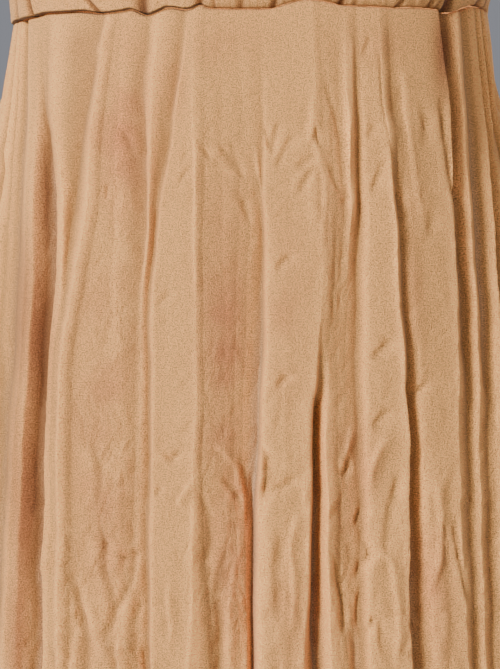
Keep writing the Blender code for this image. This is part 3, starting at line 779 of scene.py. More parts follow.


# Where the front looks mauve: partly where the thin crepe lies close, and partly painted shade on its fields
# and hollows.
MAUVE_AND_SHADE_PATCHES = (
    # across_mm, drop_mm, half_width_mm, half_height_mm, amount
    (-72, 70, 20, 55, 0.9),
    (-95, 20, 22, 12, 0.3),
    (-45, 40, 10, 30, 0.5),
    (-20, 20, 25, 14, 0.4),
    (-15, 190, 15, 80, 1.0),
    (-10, 290, 13, 60, 0.9),
    (20, 170, 14, 45, 0.5),
    (45, 120, 10, 25, 0.4),
    (58, 265, 12, 35, 0.7),
    (70, 20, 20, 12, 0.4),
    (103, 330, 10, 40, 0.8),
    (20, 340, 14, 40, 0.4),
    (-80, 250, 22, 110, 0.7),
    (90, 150, 8, 40, 0.5),
)

# Painted shade: where a fold is so deep that little light reaches the cloth.
DEEP_SHADE_PATCHES = (
    # across_mm, drop_mm, half_width_mm, half_height_mm, amount
    (-118, 110, 6, 45, 0.75),
    (-122, 185, 10, 62, 0.95),
    (-126, 275, 9, 70, 0.9),
    (-129, 350, 7, 60, 0.7),
    (111, 22, 6, 26, 0.8),
    (118, 60, 4, 34, 0.3),
    (122, 150, 3.5, 60, 0.2),
)


def patches_at(patches, acrosses, levels):
    """How much of a patch's effect each point of the front has."""
    amount = np.zeros(acrosses.shape)
    for across, drop, half_width, half_height, strength in patches:
        away = ((acrosses - across) / half_width) ** 2 + ((levels - drop) / half_height) ** 2
        amount = np.maximum(amount, strength * np.exp(-away))
    return amount


def grid_mesh(name, points, uvs, attributes, closed_across=False, closed_down=False):
    """A mesh over rows of points, with a UV map in metres and point attributes."""
    rows, columns = points.shape[:2]
    index = np.arange(rows * columns).reshape(rows, columns)
    if closed_across:
        index = np.concatenate([index, index[:, :1]], axis=1)
    if closed_down:
        index = np.concatenate([index, index[:1]], axis=0)
    corners = (index[:-1, :-1], index[1:, :-1], index[1:, 1:], index[:-1, 1:])
    faces = np.stack(corners, axis=-1).reshape(-1, 4)
    mesh = bpy.data.meshes.new(name)
    mesh.from_pydata(points.reshape(-1, 3).tolist(), [], faces.tolist())
    layer = mesh.uv_layers.new(name="cloth")
    flat_uvs = uvs.reshape(-1, 2)
    loops = np.empty(len(mesh.loops), np.int64)
    mesh.loops.foreach_get("vertex_index", loops)
    layer.data.foreach_set("uv", flat_uvs[loops].astype(np.float32).ravel())
    for key, values in attributes.items():
        attribute = mesh.attributes.new(key, "FLOAT", "POINT")
        attribute.data.foreach_set("value", values.astype(np.float32).ravel())
    mesh.shade_smooth()
    return mesh


# Painted highlight and shade: a rim is painted lighter than its near neighbours, and a swell than its wider
# ones, with dips darker: over how many columns to each side they are compared, how much lighter a mm makes
# it, and the least and most.
RIM_LIGHT_AND_SHADE = (4, 0.4, 0.8, 1.2)
SWELL_LIGHT_AND_SHADE = (9, 0.06, 0.77, 1.16)
# The shade on the panel's edge where it is tucked behind the band.
TUCK_SHADE = 0.85
TUCK_SHADE_DROP_MM = 0.4
# How much smoother the cloth is on a fold's rising side, which the light rakes.
RISING_COLUMNS = 4
RISING_SMOOTHER = 0.6
# A slit's painted light, a paler colour on its walls, comes in between these depths of a fold, and goes out
# between these drops.
SLIT_LIGHT_FOLDS_MM = (-4, -7)
SLIT_LIGHT_DROPS_MM = (430, 370)
SLIT_LIGHT_MOST = 0.8
# A deep patch comes in below these heights of a fold, and shades the cloth by this much.
DEEP_SHADE_FOLDS_MM = (7, 3)
DEEP_SHADE = 0.42
EVEN_MAUVE = 0.25


def blurred(values, reach):
    """The values averaged with their neighbours across the columns."""
    padded = np.pad(values, ((0, 0), (reach, reach)), mode="edge")
    columns = values.shape[1]
    return np.mean([padded[:, i : i + columns] for i in range(2 * reach + 1)], axis=0)


def painted_relief_tone(heights, reach, lighter, least, most):
    """Painted highlight and shade: how much lighter each point is that stands out from its neighbours, and
    how much darker one that lies under them.
    """
    return np.clip(1 + lighter * (heights - blurred(heights, reach)), least, most)


def panel_looks(form, middle):
    """The point attributes of a panel: painted deep shade, painted light and shade, mauve, crumpling and
    painted slit light.
    """
    tucked = 1 - in_front(form.acrosses)
    seam = np.exp(-((form.levels / TUCK_SHADE_DROP_MM) ** 2))
    # Painted highlight on rims and swells and painted shade in dips, with painted shade on the edge tucked
    # behind the band.
    tones = painted_relief_tone(form.creased, *RIM_LIGHT_AND_SHADE) * (1 - TUCK_SHADE * tucked * seam)
    tones *= painted_relief_tone(form.creased, *SWELL_LIGHT_AND_SHADE)
    rising = blurred(np.gradient(form.folds, axis=1) > 0, RISING_COLUMNS)
    slit = ramp(form.folds, *SLIT_LIGHT_FOLDS_MM) * ramp(form.levels, *SLIT_LIGHT_DROPS_MM) * SLIT_LIGHT_MOST
    deep = np.zeros(form.levels.shape)
    mauve = np.full(form.levels.shape, EVEN_MAUVE)
    if middle == 0:
        # Mauve patches: partly the crepe's own cast, partly painted shade.
        mauve = patches_at(MAUVE_AND_SHADE_PATCHES, form.acrosses, form.levels)
        # Painted shade deep in the listed folds: a warmer colour and a lower tone.
        deep = patches_at(DEEP_SHADE_PATCHES, form.acrosses, form.levels) * ramp(form.folds, *DEEP_SHADE_FOLDS_MM)
        slit *= 1 - deep
        tones *= 1 - DEEP_SHADE * deep
    # Painted light in the slits: their tone is lifted back towards 1.
    tones += (1 - tones) * slit
    crumpled = form.loose * (1 - RISING_SMOOTHER * rising)
    return {"hollow": deep, "tone": tones, "mauve": mauve, "crumpled": crumpled, "slit": slit}


def with_hem(rows):
    """A panel's rows with the last one repeated for each row of the hem."""
    return np.pad(rows, ((0, HEM_ROWS), (0, 0)), mode="edge")


def panel_mesh(name, shape):
    """A panel of crepe: its folded face, its curled seam edge and its turned-up hem."""
    middle = PANELS[name]["middle"]
    form = panel_form(shape, name)
    from_side = 90 - np.abs(form.angles - middle)
    curl = (1 - ramp(form.levels, 0, SEAM_CURL_DROP_MM)) ** 2 * SEAM_CURL_MM
    curl += (1 - ramp(from_side, 0, SIDE_CURL_TURN)) ** 2 * SIDE_CURL_MM
    radii = np.array([oval_radius(row, drop) for row, drop in zip(form.angles, form.drops)])
    radii = radii + (form.outs - curl) * MM
    rise = seam_rise(form.acrosses) if middle == 0 else back_rise(form.angles)
    heights = PANEL_TOP - form.levels * MM
    heights += rise * np.exp(-form.levels / SEAM_RISE_FADE_MM) * MM
    turns = np.radians(HEM_ROUND_TURNS)
    hem_radii = [radii[-1] - (1 - math.cos(t)) * HEM_RADIUS_MM * MM for t in turns]
    hem_heights = [heights[-1] - math.sin(t) * HEM_RADIUS_MM * MM for t in turns]
    for share in np.linspace(HEM_INNER_START, 1, HEM_INNER_ROWS):
        hem_radii.append(hem_radii[-1])
        hem_heights.append(heights[-1] + share * shape.hem_turning)
    radii = np.concatenate([radii, hem_radii])
    heights = np.concatenate([heights, hem_heights])
    turn = np.radians(with_hem(form.angles))
    points = np.stack([radii * np.sin(turn), -radii * np.cos(turn), heights], axis=-1)
    down = with_hem(-form.levels * MM)
    down[-HEM_ROWS:] -= np.linspace(*CLOTH_ROUND_HEM, HEM_ROWS)[:, None]
    uvs = np.stack([with_hem(form.lengths * MM), down], axis=-1)
    looks = {key: with_hem(values) for key, values in panel_looks(form, middle).items()}
    return grid_mesh(name, points, uvs, looks)


def add_node(tree, kind, inputs=(), **settings):
    """A node of a kind, with its settings, and its inputs as values or as sockets to link."""
    made = tree.nodes.new(kind)
    for key, value in settings.items():
        setattr(made, key, value)
    for key, value in dict(inputs).items():
        if isinstance(value, bpy.types.NodeSocket):
            tree.links.new(value, made.inputs[key])
        else:
            made.inputs[key].default_value = value
    return made


# The crepe's grain, drawn a little coarser than the real one, so that it shows: for its pebbles,
# the slubs of its weft and the ribs of its warp, how many come in one spacing of the grain across
# and down the cloth, and the detail and roughness of their noise.
GRAIN = (
    # across, down, detail, roughness
    (1.5, 1.5, 2.0, 0.6),
    (0.25, 1.5, 1.0, 0.5),
    (1.5, 0.2, 1.0, 0.5),
)
PEBBLE_SHARE = 6.0
GRAIN_RISE = 0.16 * MM
# The small facets that the crepe is crumpled into, finer than its mesh.
FACET_WIDTH = 15 * MM
FACET_LENGTH = 26 * MM
FACET_RISE = 2.2 * MM
FACET_SCALES = (1.0, 2.3)
SMALL_FACET_SHARE = 0.5
GLOW_SHARE = 0.1


def crepe_material(name, crepe):
    """Crinkle crepe of tightly twisted viscose yarn, plain woven and piece dyed tan.

    The eye gets a matt pebbled face with fine slubs along both threads, a faint bloom at grazing
    angles and a glow of light through the thin cloth, with painted shade and light over them: a
    warmer, darker colour deep in the folds, lighter rims and darker dips, paler walls in the narrow
    folds, and mauve that is partly the crepe's own cast and partly painted shade.
    """
    material = bpy.data.materials.new(name)
    material.use_nodes = True
    tree = material.node_tree
    tree.nodes.clear()
    place = add_node(tree, "ShaderNodeUVMap", uv_map="cloth").outputs["UV"]
    hollow, tone, mauve, crumpled, slit = (
        add_node(tree, "ShaderNodeAttribute", attribute_name=key).outputs["Fac"]
        for key in ("hollow", "tone", "mauve", "crumpled", "slit")
    )
    yarns = []
    for across, down, detail, roughness in GRAIN:
        scale = (across / crepe.grain, down / crepe.grain, 1)
        laid = add_node(tree, "ShaderNodeMapping", {"Vector": place, "Scale": scale})
        spun = {"Vector": laid.outputs["Vector"], "Scale": 1.0, "Detail": detail, "Roughness": roughness}
        yarns.append(add_node(tree, "ShaderNodeTexNoise", spun).outputs["Fac"])
    pebble, slub, rib = yarns
    threads = add_node(tree, "ShaderNodeMath", {0: slub, 1: rib}, operation="ADD").outputs["Value"]
    grain = add_node(
        tree, "ShaderNodeMath", {0: pebble, 1: PEBBLE_SHARE, 2: threads}, operation="MULTIPLY_ADD"
    ).outputs["Value"]
    facets = add_node(
        tree, "ShaderNodeMapping", {"Vector": place, "Scale": (1 / FACET_WIDTH, 1 / FACET_LENGTH, 1)}
    ).outputs["Vector"]
    strays = add_node(
        tree, "ShaderNodeTexNoise", {"Vector": facets, "Scale": 0.8, "Detail": 2.0}
    ).outputs["Color"]
    bent = add_node(
        tree,
        "ShaderNodeVectorMath",
        {0: strays, 1: (1.1, 1.1, 0), 2: facets},
        operation="MULTIPLY_ADD",
    ).outputs["Vector"]
    rim, small_rim = (
        add_node(
            tree,
            "ShaderNodeTexVoronoi",
            {"Vector": bent, "Scale": scale},
            voronoi_dimensions="2D",
            feature="DISTANCE_TO_EDGE",
        ).outputs["Distance"]
        for scale in FACET_SCALES
    )
    folded = add_node(
        tree, "ShaderNodeMath", {0: small_rim, 1: SMALL_FACET_SHARE, 2: rim}, operation="MULTIPLY_ADD"
    ).outputs["Value"]
    patchy = add_node(
        tree, "ShaderNodeTexNoise", {"Vector": facets, "Scale": 0.45, "Detail": 1.0}
    ).outputs["Fac"]
    cloud = add_node(
        tree, "ShaderNodeTexNoise", {"Vector": place, "Scale": 34.0, "Detail": 3.0}
    ).outputs["Fac"]
    amount, clouded, speck = (
        add_node(
            tree,
            "ShaderNodeMapRange",
            {"Value": value, "From Min": low, "From Max": high, "To Min": least, "To Max": most},
        ).outputs["Result"]
        for value, low, high, least, most in (
            (patchy, 0.38, 0.6, 0.15, 1.0),
            (cloud, 0.35, 0.65, 0.25, 1.0),
            (grain, 2.9, 5.1, 0.45, 1.55),
        )
    )
    shown, pinked, toned = (
        add_node(tree, "ShaderNodeMath", {0: one, 1: other}, operation="MULTIPLY").outputs["Value"]
        for one, other in ((amount, crumpled), (mauve, clouded), (speck, tone))
    )
    facet = add_node(
        tree, "ShaderNodeMath", {0: folded, 1: shown}, operation="MULTIPLY"
    ).outputs["Value"]
    # Inputs 6 and 7 and output 2 of a Mix node are the ones for colours.
    # The mauve mix is partly the crepe's own cast and partly painted shade, the hollow mix is painted shade
    # and the slit mix painted light; the tone then scales in the painted highlights and shade along with the
    # grain's specks.
    dyed = (*crepe.tan, 1)
    for share, other in ((pinked, crepe.mauve), (hollow, crepe.hollow), (slit, crepe.slit)):
        dyed = add_node(
            tree, "ShaderNodeMix", {0: share, 6: dyed, 7: (*other, 1)}, data_type="RGBA"
        ).outputs[2]
    colour = add_node(
        tree, "ShaderNodeVectorMath", {0: dyed, "Scale": toned}, operation="SCALE"
    ).outputs["Vector"]
    crumples = add_node(
        tree, "ShaderNodeBump", {"Height": facet, "Distance": FACET_RISE, "Strength": 1.0}
    ).outputs["Normal"]
    grained = add_node(
        tree,
        "ShaderNodeBump",
        {"Height": grain, "Distance": GRAIN_RISE, "Strength": 1.0, "Normal": crumples},
    ).outputs["Normal"]
    face = add_node(
        tree,
        "ShaderNodeBsdfPrincipled",
        {
            "Base Color": colour,
            "Normal": grained,
            "Roughness": 0.82,
            "IOR": 1.45,
            "Specular IOR Level": 0.25,
            "Sheen Weight": 0.12,
            "Sheen Roughness": 0.5,
        },
    ).outputs["BSDF"]
    glow = add_node(
        tree, "ShaderNodeBsdfTranslucent", {"Color": colour, "Normal": grained}
    ).outputs["BSDF"]
    mixed = add_node(
        tree, "ShaderNodeMixShader", {0: GLOW_SHARE, 1: face, 2: glow}
    ).outputs["Shader"]
    add_node(tree, "ShaderNodeOutputMaterial", {"Surface": mixed})
    return material


def thread_material(name, crepe):
    """Spun polyester sewing thread in the crepe's colour: a slight gloss on a twisted strand."""
    material = bpy.data.materials.new(name)
    material.use_nodes = True
    tree = material.node_tree
    tree.nodes.clear()
    place = add_node(tree, "ShaderNodeTexCoord").outputs["Object"]
    twist = add_node(
        tree, "ShaderNodeTexNoise", {"Vector": place, "Scale": 2500.0, "Detail": 1.0}
    ).outputs["Fac"]
    shade = add_node(
        tree,
        "ShaderNodeMapRange",
        {"Value": twist, "From Min": 0.3, "From Max": 0.7, "To Min": 0.75, "To Max": 0.95},
    ).outputs["Result"]
    colour = add_node(
        tree, "ShaderNodeVectorMath", {0: tuple(crepe.tan), "Scale": shade}, operation="SCALE"
    ).outputs["Vector"]
    face = add_node(
        tree, "ShaderNodeBsdfPrincipled", {"Base Color": colour, "Roughness": 0.5}
    ).outputs["BSDF"]
    add_node(tree, "ShaderNodeOutputMaterial", {"Surface": face})
    return material


def shared_crepe():
    """The one crepe material that every piece of cloth has."""
    found = bpy.data.materials.get("viscose_crinkle_crepe")
    return found or crepe_material("viscose_crinkle_crepe", bpy.context.scene.skirt_crepe)


def add_object(name, mesh, material, slot, *nodes):
    """Links a finished mesh as a piece that rides with the skirt and stands for its nodes."""
    mesh.materials.clear()
    mesh.materials.append(material)
    piece = bpy.data.objects.new(name, mesh)
    bpy.context.scene.collection.objects.link(piece)
    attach(piece, "root")
    if nodes:
        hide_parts(*nodes)
    return piece


class SKIRT_OT_panels(bpy.types.Operator):
    """Make the front and the back panel of crinkled crepe"""

    bl_idname = "skirt.panels"
    bl_label = "Front and back panels"

    def execute(self, context):
        noise.seed_set(FACET_SEED)
        crepe = shared_crepe()
        for name, facts in PANELS.items():
            mesh = panel_mesh(name, context.scene.skirt_shape)
            panel = add_object(name, mesh, crepe, "crinkled_crepe", facts["node"])
        return {"FINISHED"}


# The pinches between the gathers at the front of the band, near its lower edge. A slant is how
# far to the right the pinch runs over the lowest quarter of the band.
BAND_PINCHES = (
    # across_mm, half_width_mm, depth_mm, slant_mm
    (-126, 2.6, 5.0, -2),
    (-86, 2.2, 4.2, -10),
    (-61, 3.4, 4.6, 1),
    (-28.5, 1.8, 3.4, 2),
    (-20, 1.2, 2.2, -1),
    (-5, 1.8, 2.6, 1),
    (13, 2.4, 3.2, 4),
    (29, 1.6, 2.4, 2),
    (52, 2.2, 4.0, 2),
    (60, 1.2, 1.8, 1),
    (84, 1.8, 3.4, 6),
    (102, 1.6, 3.4, 5),
    (107, 1.4, 2.6, 4),
    (113.5, 3.2, 7.0, 1),
)
SLANTED_SHARE = 0.25
# The pinches round the sides and the back: how many they are, their half width and depth, and by
# what amount and stride their place, width, depth and slant differ from one to the next.
PINCHES_ROUND = 19
PINCH_WIDTH_MM = 3
PINCH_DEPTH_MM = 2.8
UNEVEN_PINCHES = ((0.25, 2.1), (1, 1), (1, 1.3), (4, 3.1))
# A pinch is this deep away from the lower edge, as a share of its depth at the edge.
PINCH_LEAST = 0.45

# The band's section: its wall, the shares of its height between which it is upright, its foot,
# its rows outside and inside, and the turns of its rounded top and foot.
BAND_WALL_MM = 2.6
BAND_UPRIGHT = (0.03, 0.97)
BAND_FOOT_SHARE = 0.012
BAND_OUTER_ROWS = 40
BAND_INNER_ROWS = 14
BAND_ROUND_TURNS = (30, 60, 90, 120, 150)
BAND_COLUMN_MM = 0.9

# How the band stands out from its seam's oval: its least and its bulge, its ripples with their
# numbers in a degree and in the height, and how far its lower edge lies behind the panel.
BAND_LEAST_MM = 1.4
BAND_BULGE_MM = 2.0
BAND_BULGE_POWER = 0.6
BAND_RIPPLE_MM = 0.8
BAND_RIPPLES = (0.9, 3.0)
BAND_RIPPLE_SLICE = 2.2
BAND_BEHIND_MM = 1.3
BAND_INSIDE_SHARE = 0.35
BAND_RAISED_MM = 0.35
# What happens at the lower edge fades out upward at this rate.
BAND_EDGE_FADE = 12

# The band's finish, mostly painted light and shade: the depth of a pinch that takes the whole
# painted shade, the painted shade inside, the painted tone of the open cloth and of the deepest
# pinch with the depth that takes off a whole tone, the panel's painted shadow on the band's edge,
# the painted shade under the foot where the panel is behind, then its even mauve and crumpling.
PINCH_SHADE_MM = 7
BAND_INSIDE_SHADE = 0.3
BAND_TONES = (0.4, 1.1)
PINCH_TONE_MM = 6
BAND_EDGE_SHADOW = 0.4
BAND_EDGE_SHADOW_POWER = 1.5
BAND_FOOT_SHADE = 0.8
BAND_FOOT_SHADE_SHARE = 0.02
BAND_MAUVE = 0.2
BAND_CRUMPLED = 0.3


def band_section():
    """The band's section as (how far in, share of the height), from its lower edge up and round."""
    half_wall = BAND_WALL_MM / 2
    low, high = BAND_UPRIGHT
    turns = np.radians(BAND_ROUND_TURNS)
    outer = [(0.0, share) for share in (BAND_FOOT_SHARE, *np.linspace(low, high, BAND_OUTER_ROWS))]
    top = [(half_wall * (1 - math.cos(t)), high + low * math.sin(t)) for t in turns]
    inner = [(BAND_WALL_MM, share) for share in np.linspace(high, low, BAND_INNER_ROWS)]
    foot = [(half_wall * (1 + math.cos(t)), BAND_FOOT_SHARE * (1 - math.sin(t))) for t in turns]
    return outer + top + inner + foot


def band_pinches():
    """Every pinch of the band as (angle, half width and depth in mm, slant in mm)."""
    pinches = [(angle_of(across, 0), *rest) for across, *rest in BAND_PINCHES]
    first, last = pinches[0][0], pinches[-1][0]
    for step in range(1, PINCHES_ROUND + 1):
        place, wider, deeper, slant = (uneven(step, *one) for one in UNEVEN_PINCHES)
        angle = last + (360 - last + first) * ((step + place) / (PINCHES_ROUND + 1))
        pinches.append((angle, PINCH_WIDTH_MM + wider, PINCH_DEPTH_MM + deeper, slant))
    return pinches


def pinch_depths(angles, radius, share):
    """How deep the pinches are at each angle, in mm, at a share of the band's height."""
    depth = np.zeros(len(angles))
    for angle, half_width, deep, slant in band_pinches():
        away = ((angles - angle + 180) % 360 - 180) * math.radians(1) * radius / MM
        away = away - slant * min(share / SLANTED_SHARE, 1)
        depth = np.maximum(depth, deep * np.exp(-((away / half_width) ** 2)))
    return depth


def band_ripples(angles, share):
    """The band's small ripples at each angle, from -1 to 1, at a share of its height."""
    round_it, up_it = BAND_RIPPLES
    spots = (Vector((angle * round_it, share * up_it, BAND_RIPPLE_SLICE)) for angle in angles)
    return np.array([noise.noise(spot) for spot in spots])


def band_mesh(name):
    """The gathered band: a folded strip round its elastic, puffed between its pinches."""
    section = band_section()
    girth = 2 * math.pi * half_sizes(0).mean() / MM
    columns = round(girth / BAND_COLUMN_MM)
    angles = np.linspace(-180, 180, columns, endpoint=False)
    turn = np.radians(angles)
    radius = oval_radius(angles, 0)
    across = radius * np.sin(turn) / MM
    rise = np.where(np.cos(turn) > 0, seam_rise(across), back_rise(angles))
    fronted = in_front(across)
    least_tone, most_tone = BAND_TONES
    points, uvs, hollows, tones = [], [], [], []
    around = 0.0
    last_inward, last_share = section[0]
    for inward, share in section:
        outside = max(0.0, 1 - inward / BAND_WALL_MM)
        edge = math.exp(-share * BAND_EDGE_FADE)
        depth = pinch_depths(angles, radius, share)
        puff = BAND_BULGE_MM * math.sin(math.pi * share) ** BAND_BULGE_POWER + BAND_LEAST_MM
        pinched = depth * (PINCH_LEAST + (1 - PINCH_LEAST) * edge)
        out = puff - pinched + BAND_RIPPLE_MM * band_ripples(angles, share)
        out = out - BAND_BEHIND_MM * fronted * edge
        out = out * (BAND_INSIDE_SHARE + (1 - BAND_INSIDE_SHARE) * outside) - inward
        level = (share - 0.5) * BAND_HEIGHT / MM + rise * (1 - share) ** 2 + BAND_RAISED_MM
        r = radius + out * MM
        points.append(np.stack([r * np.sin(turn), -r * np.cos(turn), level * MM], axis=-1))
        around += math.hypot(inward - last_inward, (share - last_share) * BAND_HEIGHT / MM)
        last_inward, last_share = inward, share
        uvs.append(np.stack([turn * radius.mean(), np.full(columns, around * MM)], axis=-1))
        # Painted shade: the pinches and the inner face take the hollow colour and the pinches a lower tone,
        # and the open cloth is painted a little lighter, with the panel's painted shadow on the edge and
        # painted shade under the foot.
        hollow = np.clip(depth / PINCH_SHADE_MM, 0, 1) * outside
        hollows.append(hollow + (1 - outside) * BAND_INSIDE_SHADE)
        shadow = fronted * BAND_EDGE_SHADOW * edge**BAND_EDGE_SHADOW_POWER
        shadow = shadow + (1 - fronted) * BAND_FOOT_SHADE * (share < BAND_FOOT_SHADE_SHARE)
        tone = np.clip(most_tone - depth / PINCH_TONE_MM, least_tone, most_tone)
        tones.append(tone * (1 - shadow))
    points, uvs, hollows, tones = (np.array(rows[::-1]) for rows in (points, uvs, hollows, tones))
    looks = {
        "hollow": hollows,
        "tone": tones,
        "mauve": np.full(hollows.shape, BAND_MAUVE),
        "crumpled": np.full(hollows.shape, BAND_CRUMPLED),
        "slit": np.zeros(hollows.shape),
    }
    return grid_mesh(name, points, uvs, looks, closed_across=True, closed_down=True)


class SKIRT_OT_waistband(bpy.types.Operator):
    """Make the gathered elastic waistband"""

    bl_idname = "skirt.waistband"
    bl_label = "Waistband"

    def execute(self, context):
        mesh = band_mesh("gathered_band")
        band = add_object("gathered_band", mesh, shared_crepe(), "gathered_crepe", "waistband")
        # The cut: one strip, drawn up round the waist, of which the outer half shows.
        return {"FINISHED"}


STITCH_RADIUS = 0.22 * MM
STITCH_SHARE = 0.72
# The stitches lie on this row over the hem's edge, sunk to half their thread.
STITCH_ROW = 1
STITCH_SUNK = 0.5


def stitch_tree(material):
    """Geometry Nodes that lay a row of stitches along a path."""
    tree = bpy.data.node_groups.new("hem_stitches", "GeometryNodeTree")
    face = tree.interface
    face.new_socket(name="Path", in_out="INPUT", socket_type="NodeSocketGeometry")
    for name in ("Stitch spacing", "Stitch length", "Thread radius"):
        face.new_socket(name=name, in_out="INPUT", socket_type="NodeSocketFloat")
    face.new_socket(name="Stitches", in_out="OUTPUT", socket_type="NodeSocketGeometry")
    given = add_node(tree, "NodeGroupInput").outputs
    path = add_node(tree, "GeometryNodeMeshToCurve", {"Mesh": given["Path"]}).outputs["Curve"]
    spots = add_node(
        tree,
        "GeometryNodeCurveToPoints",
        {"Curve": path, "Length": given["Stitch spacing"]},
        mode="LENGTH",
    )
    bead = add_node(
        tree, "GeometryNodeMeshUVSphere", {"Segments": 6, "Rings": 4, "Radius": 1.0}
    ).outputs["Mesh"]
    size = add_node(
        tree,
        "ShaderNodeCombineXYZ",
        {"X": given["Thread radius"], "Y": given["Thread radius"], "Z": given["Stitch length"]},
    ).outputs["Vector"]
    laid = add_node(
        tree,
        "GeometryNodeInstanceOnPoints",
        {
            "Points": spots.outputs["Points"],
            "Instance": bead,
            "Rotation": spots.outputs["Rotation"],
            "Scale": size,
        },
    ).outputs["Instances"]
    real = add_node(tree, "GeometryNodeRealizeInstances", {"Geometry": laid}).outputs["Geometry"]
    named = add_node(
        tree, "GeometryNodeSetMaterial", {"Geometry": real, "Material": material}
    ).outputs["Geometry"]
    add_node(tree, "NodeGroupOutput", {"Stitches": named})
    return tree


def hem_path(name, outward):
    """The points of a panel's outer face a little above its hem, moved outward."""
    mesh = bpy.data.objects[name].data
    columns = len(column_shares(PANELS[name]))
    rows = len(mesh.vertices) // columns
    start = (rows - HEM_ROWS - 1 - STITCH_ROW) * columns
    row = [mesh.vertices[i] for i in range(start + 1, start + columns - 1)]
    return [vertex.co + vertex.normal * outward for vertex in row]


class SKIRT_OT_hem_stitching(bpy.types.Operator):
    """Lay the row of stitches that holds the hem"""

    bl_idname = "skirt.hem_stitching"
    bl_label = "Hem stitching"

    def execute(self, context):
        shape = context.scene.skirt_shape
        material = thread_material("spun_polyester_thread", context.scene.skirt_crepe)
        mesh = bpy.data.meshes.new("hem_stitching")
        points, edges = [], []
        for name in PANELS:
            line = hem_path(name, STITCH_RADIUS * STITCH_SUNK)
            edges += [(len(points) + i, len(points) + i + 1) for i in range(len(line) - 1)]
            points += line
        mesh.from_pydata(points, edges, [])
        carrier = bpy.data.objects.new("hem_path", mesh)
        context.scene.collection.objects.link(carrier)
        tree = stitch_tree(material)
        modifier = carrier.modifiers.new("stitches", "NODES")
        modifier.node_group = tree
        values = {
            "Stitch spacing": shape.stitch_length,
            "Stitch length": shape.stitch_length * STITCH_SHARE / 2,
            "Thread radius": STITCH_RADIUS,
        }
        for item in tree.interface.items_tree:
            if item.name in values:
                modifier[item.identifier] = values[item.name]
        evaluated = carrier.evaluated_get(context.evaluated_depsgraph_get())
        stitches = bpy.data.meshes.new_from_object(evaluated)
        stitches.name = "hem_stitching"
        bpy.data.objects.remove(carrier)
        stitches.shade_smooth()
        add_object("hem_stitching", stitches, material, "crinkled_crepe")
        return {"FINISHED"}


# The picture: its height in pixels, how much cloth a pixel shows at the camera's distance, where
# the front of the skirt is, and how far the picture's middle lies under the waist seam.
PICTURE_HEIGHT_PX = 669
PIXEL = 0.56 * MM
FRONT_FACE = -0.13
PICTURE_MIDDLE_DROP = 185 * MM
SENSOR_MM = 36.0
CLIP_START = 0.01

FLOOR_UNDER_HEM = 45 * MM
FLOOR_SIZE = 14
FLOOR_ROUGHNESS = 0.9
SKY_COLOUR = (0.88, 0.90, 1.0, 1)
SKY_STRENGTH = 0.28

# The lights, with the setting that holds their power and their share of it.
LIGHTS = (
    # name, setting, share, place, size, colour
    ("key", "key", 1.0, (-1.7, -2.0, 1.35), (0.7, 0.9), (1.0, 0.965, 0.92)),
    ("fill", "fill", 1.0, (1.5, -2.2, 0.2), (1.4, 1.6), (0.93, 0.90, 1.0)),
    ("back_left", "back", 1.0, (-1.3, 2.8, 1.5), (1.6, 1.6), (1.0, 0.94, 0.88)),
    ("back_right", "back", 0.6, (1.5, 2.8, 1.1), (1.6, 1.6), (0.97, 0.97, 1.0)),
)


def add_light(name, place, aim, size, power, colour):
    """A large soft light, aimed at a point."""
    light = bpy.data.lights.new(name, "AREA")
    light.shape = "RECTANGLE"
    light.size, light.size_y = size
    light.energy = power
    light.color = colour
    lamp = bpy.data.objects.new(name, light)
    lamp.location = place
    lamp.rotation_euler = (Vector(aim) - Vector(place)).to_track_quat("-Z", "Y").to_euler()
    bpy.context.scene.collection.objects.link(lamp)


def add_floor(colour):
    """A plain pale floor of matt paint, a little under the hem."""
    height = PANEL_TOP - PANEL_LENGTH - FLOOR_UNDER_HEM
    bpy.ops.mesh.primitive_plane_add(size=FLOOR_SIZE, location=(0, 0, height))
    floor = bpy.context.object
    floor.name = "studio_floor"
    paint = bpy.data.materials.new("matt_floor_paint")
    paint.use_nodes = True
    face = paint.node_tree.nodes["Principled BSDF"].inputs
    face["Base Color"].default_value = (*colour, 1)
    face["Roughness"].default_value = FLOOR_ROUGHNESS
    floor.data.materials.append(paint)


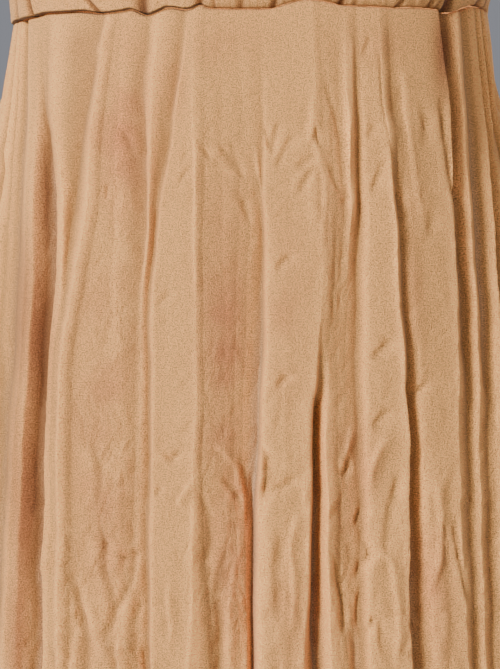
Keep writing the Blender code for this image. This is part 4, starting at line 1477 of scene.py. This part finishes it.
class SKIRT_OT_stage(bpy.types.Operator):
    """Make the floor, the light and the camera"""

    bl_idname = "skirt.stage"
    bl_label = "Stage"

    def execute(self, context):
        scene = context.scene
        stage = scene.skirt_stage
        add_floor(stage.floor)
        middle = -BAND_HEIGHT / 2 - PICTURE_MIDDLE_DROP
        aim = (0, FRONT_FACE, middle)
        for name, setting, share, place, size, colour in LIGHTS:
            add_light(name, place, aim, size, getattr(stage, setting) * share, colour)
        world = bpy.data.worlds.new("studio")
        world.use_nodes = True
        sky = world.node_tree.nodes["Background"].inputs
        sky["Color"].default_value = SKY_COLOUR
        sky["Strength"].default_value = SKY_STRENGTH
        scene.world = world
        camera = bpy.data.cameras.new("camera")
        camera.sensor_width = SENSOR_MM
        camera.lens = SENSOR_MM * stage.distance / (PICTURE_HEIGHT_PX * PIXEL)
        camera.clip_start = CLIP_START
        eye = bpy.data.objects.new("camera", camera)
        eye.location = (0, FRONT_FACE - stage.distance, middle)
        eye.rotation_euler = (math.radians(90), 0, 0)
        scene.collection.objects.link(eye)
        scene.camera = eye
        return {"FINISHED"}


class SKIRT_PT_panel(bpy.types.Panel):
    """The skirt's steps and settings"""

    bl_label = "Skirt"
    bl_idname = "SKIRT_PT_panel"
    bl_space_type = "VIEW_3D"
    bl_region_type = "UI"
    bl_category = "Skirt"

    def draw(self, context):
        for name in SETTINGS:
            settings = getattr(context.scene, name)
            box = self.layout.box()
            for key in settings.__annotations__:
                box.prop(settings, key)
        for operator in OPERATORS:
            self.layout.operator(operator.bl_idname)


OPERATORS = (SKIRT_OT_panels, SKIRT_OT_waistband, SKIRT_OT_hem_stitching, SKIRT_OT_stage)
SETTINGS = {"skirt_shape": SkirtShape, "skirt_crepe": SkirtCrepe, "skirt_stage": SkirtStage}
CLASSES = (*SETTINGS.values(), *OPERATORS, SKIRT_PT_panel)


def register():
    """Adds the settings, the steps and the panel to Blender."""
    for one in CLASSES:
        bpy.utils.register_class(one)
    for name, settings in SETTINGS.items():
        setattr(bpy.types.Scene, name, bpy.props.PointerProperty(type=settings))


def unregister():
    """Takes them away again."""
    for name in SETTINGS:
        delattr(bpy.types.Scene, name)
    for one in reversed(CLASSES):
        bpy.utils.unregister_class(one)


def main():
    """Makes every piece and the stage."""
    register()
    bpy.ops.skirt.panels()
    bpy.ops.skirt.waistband()
    bpy.ops.skirt.hem_stitching()
    bpy.ops.skirt.stage()


if __name__ == "__main__":
    main()
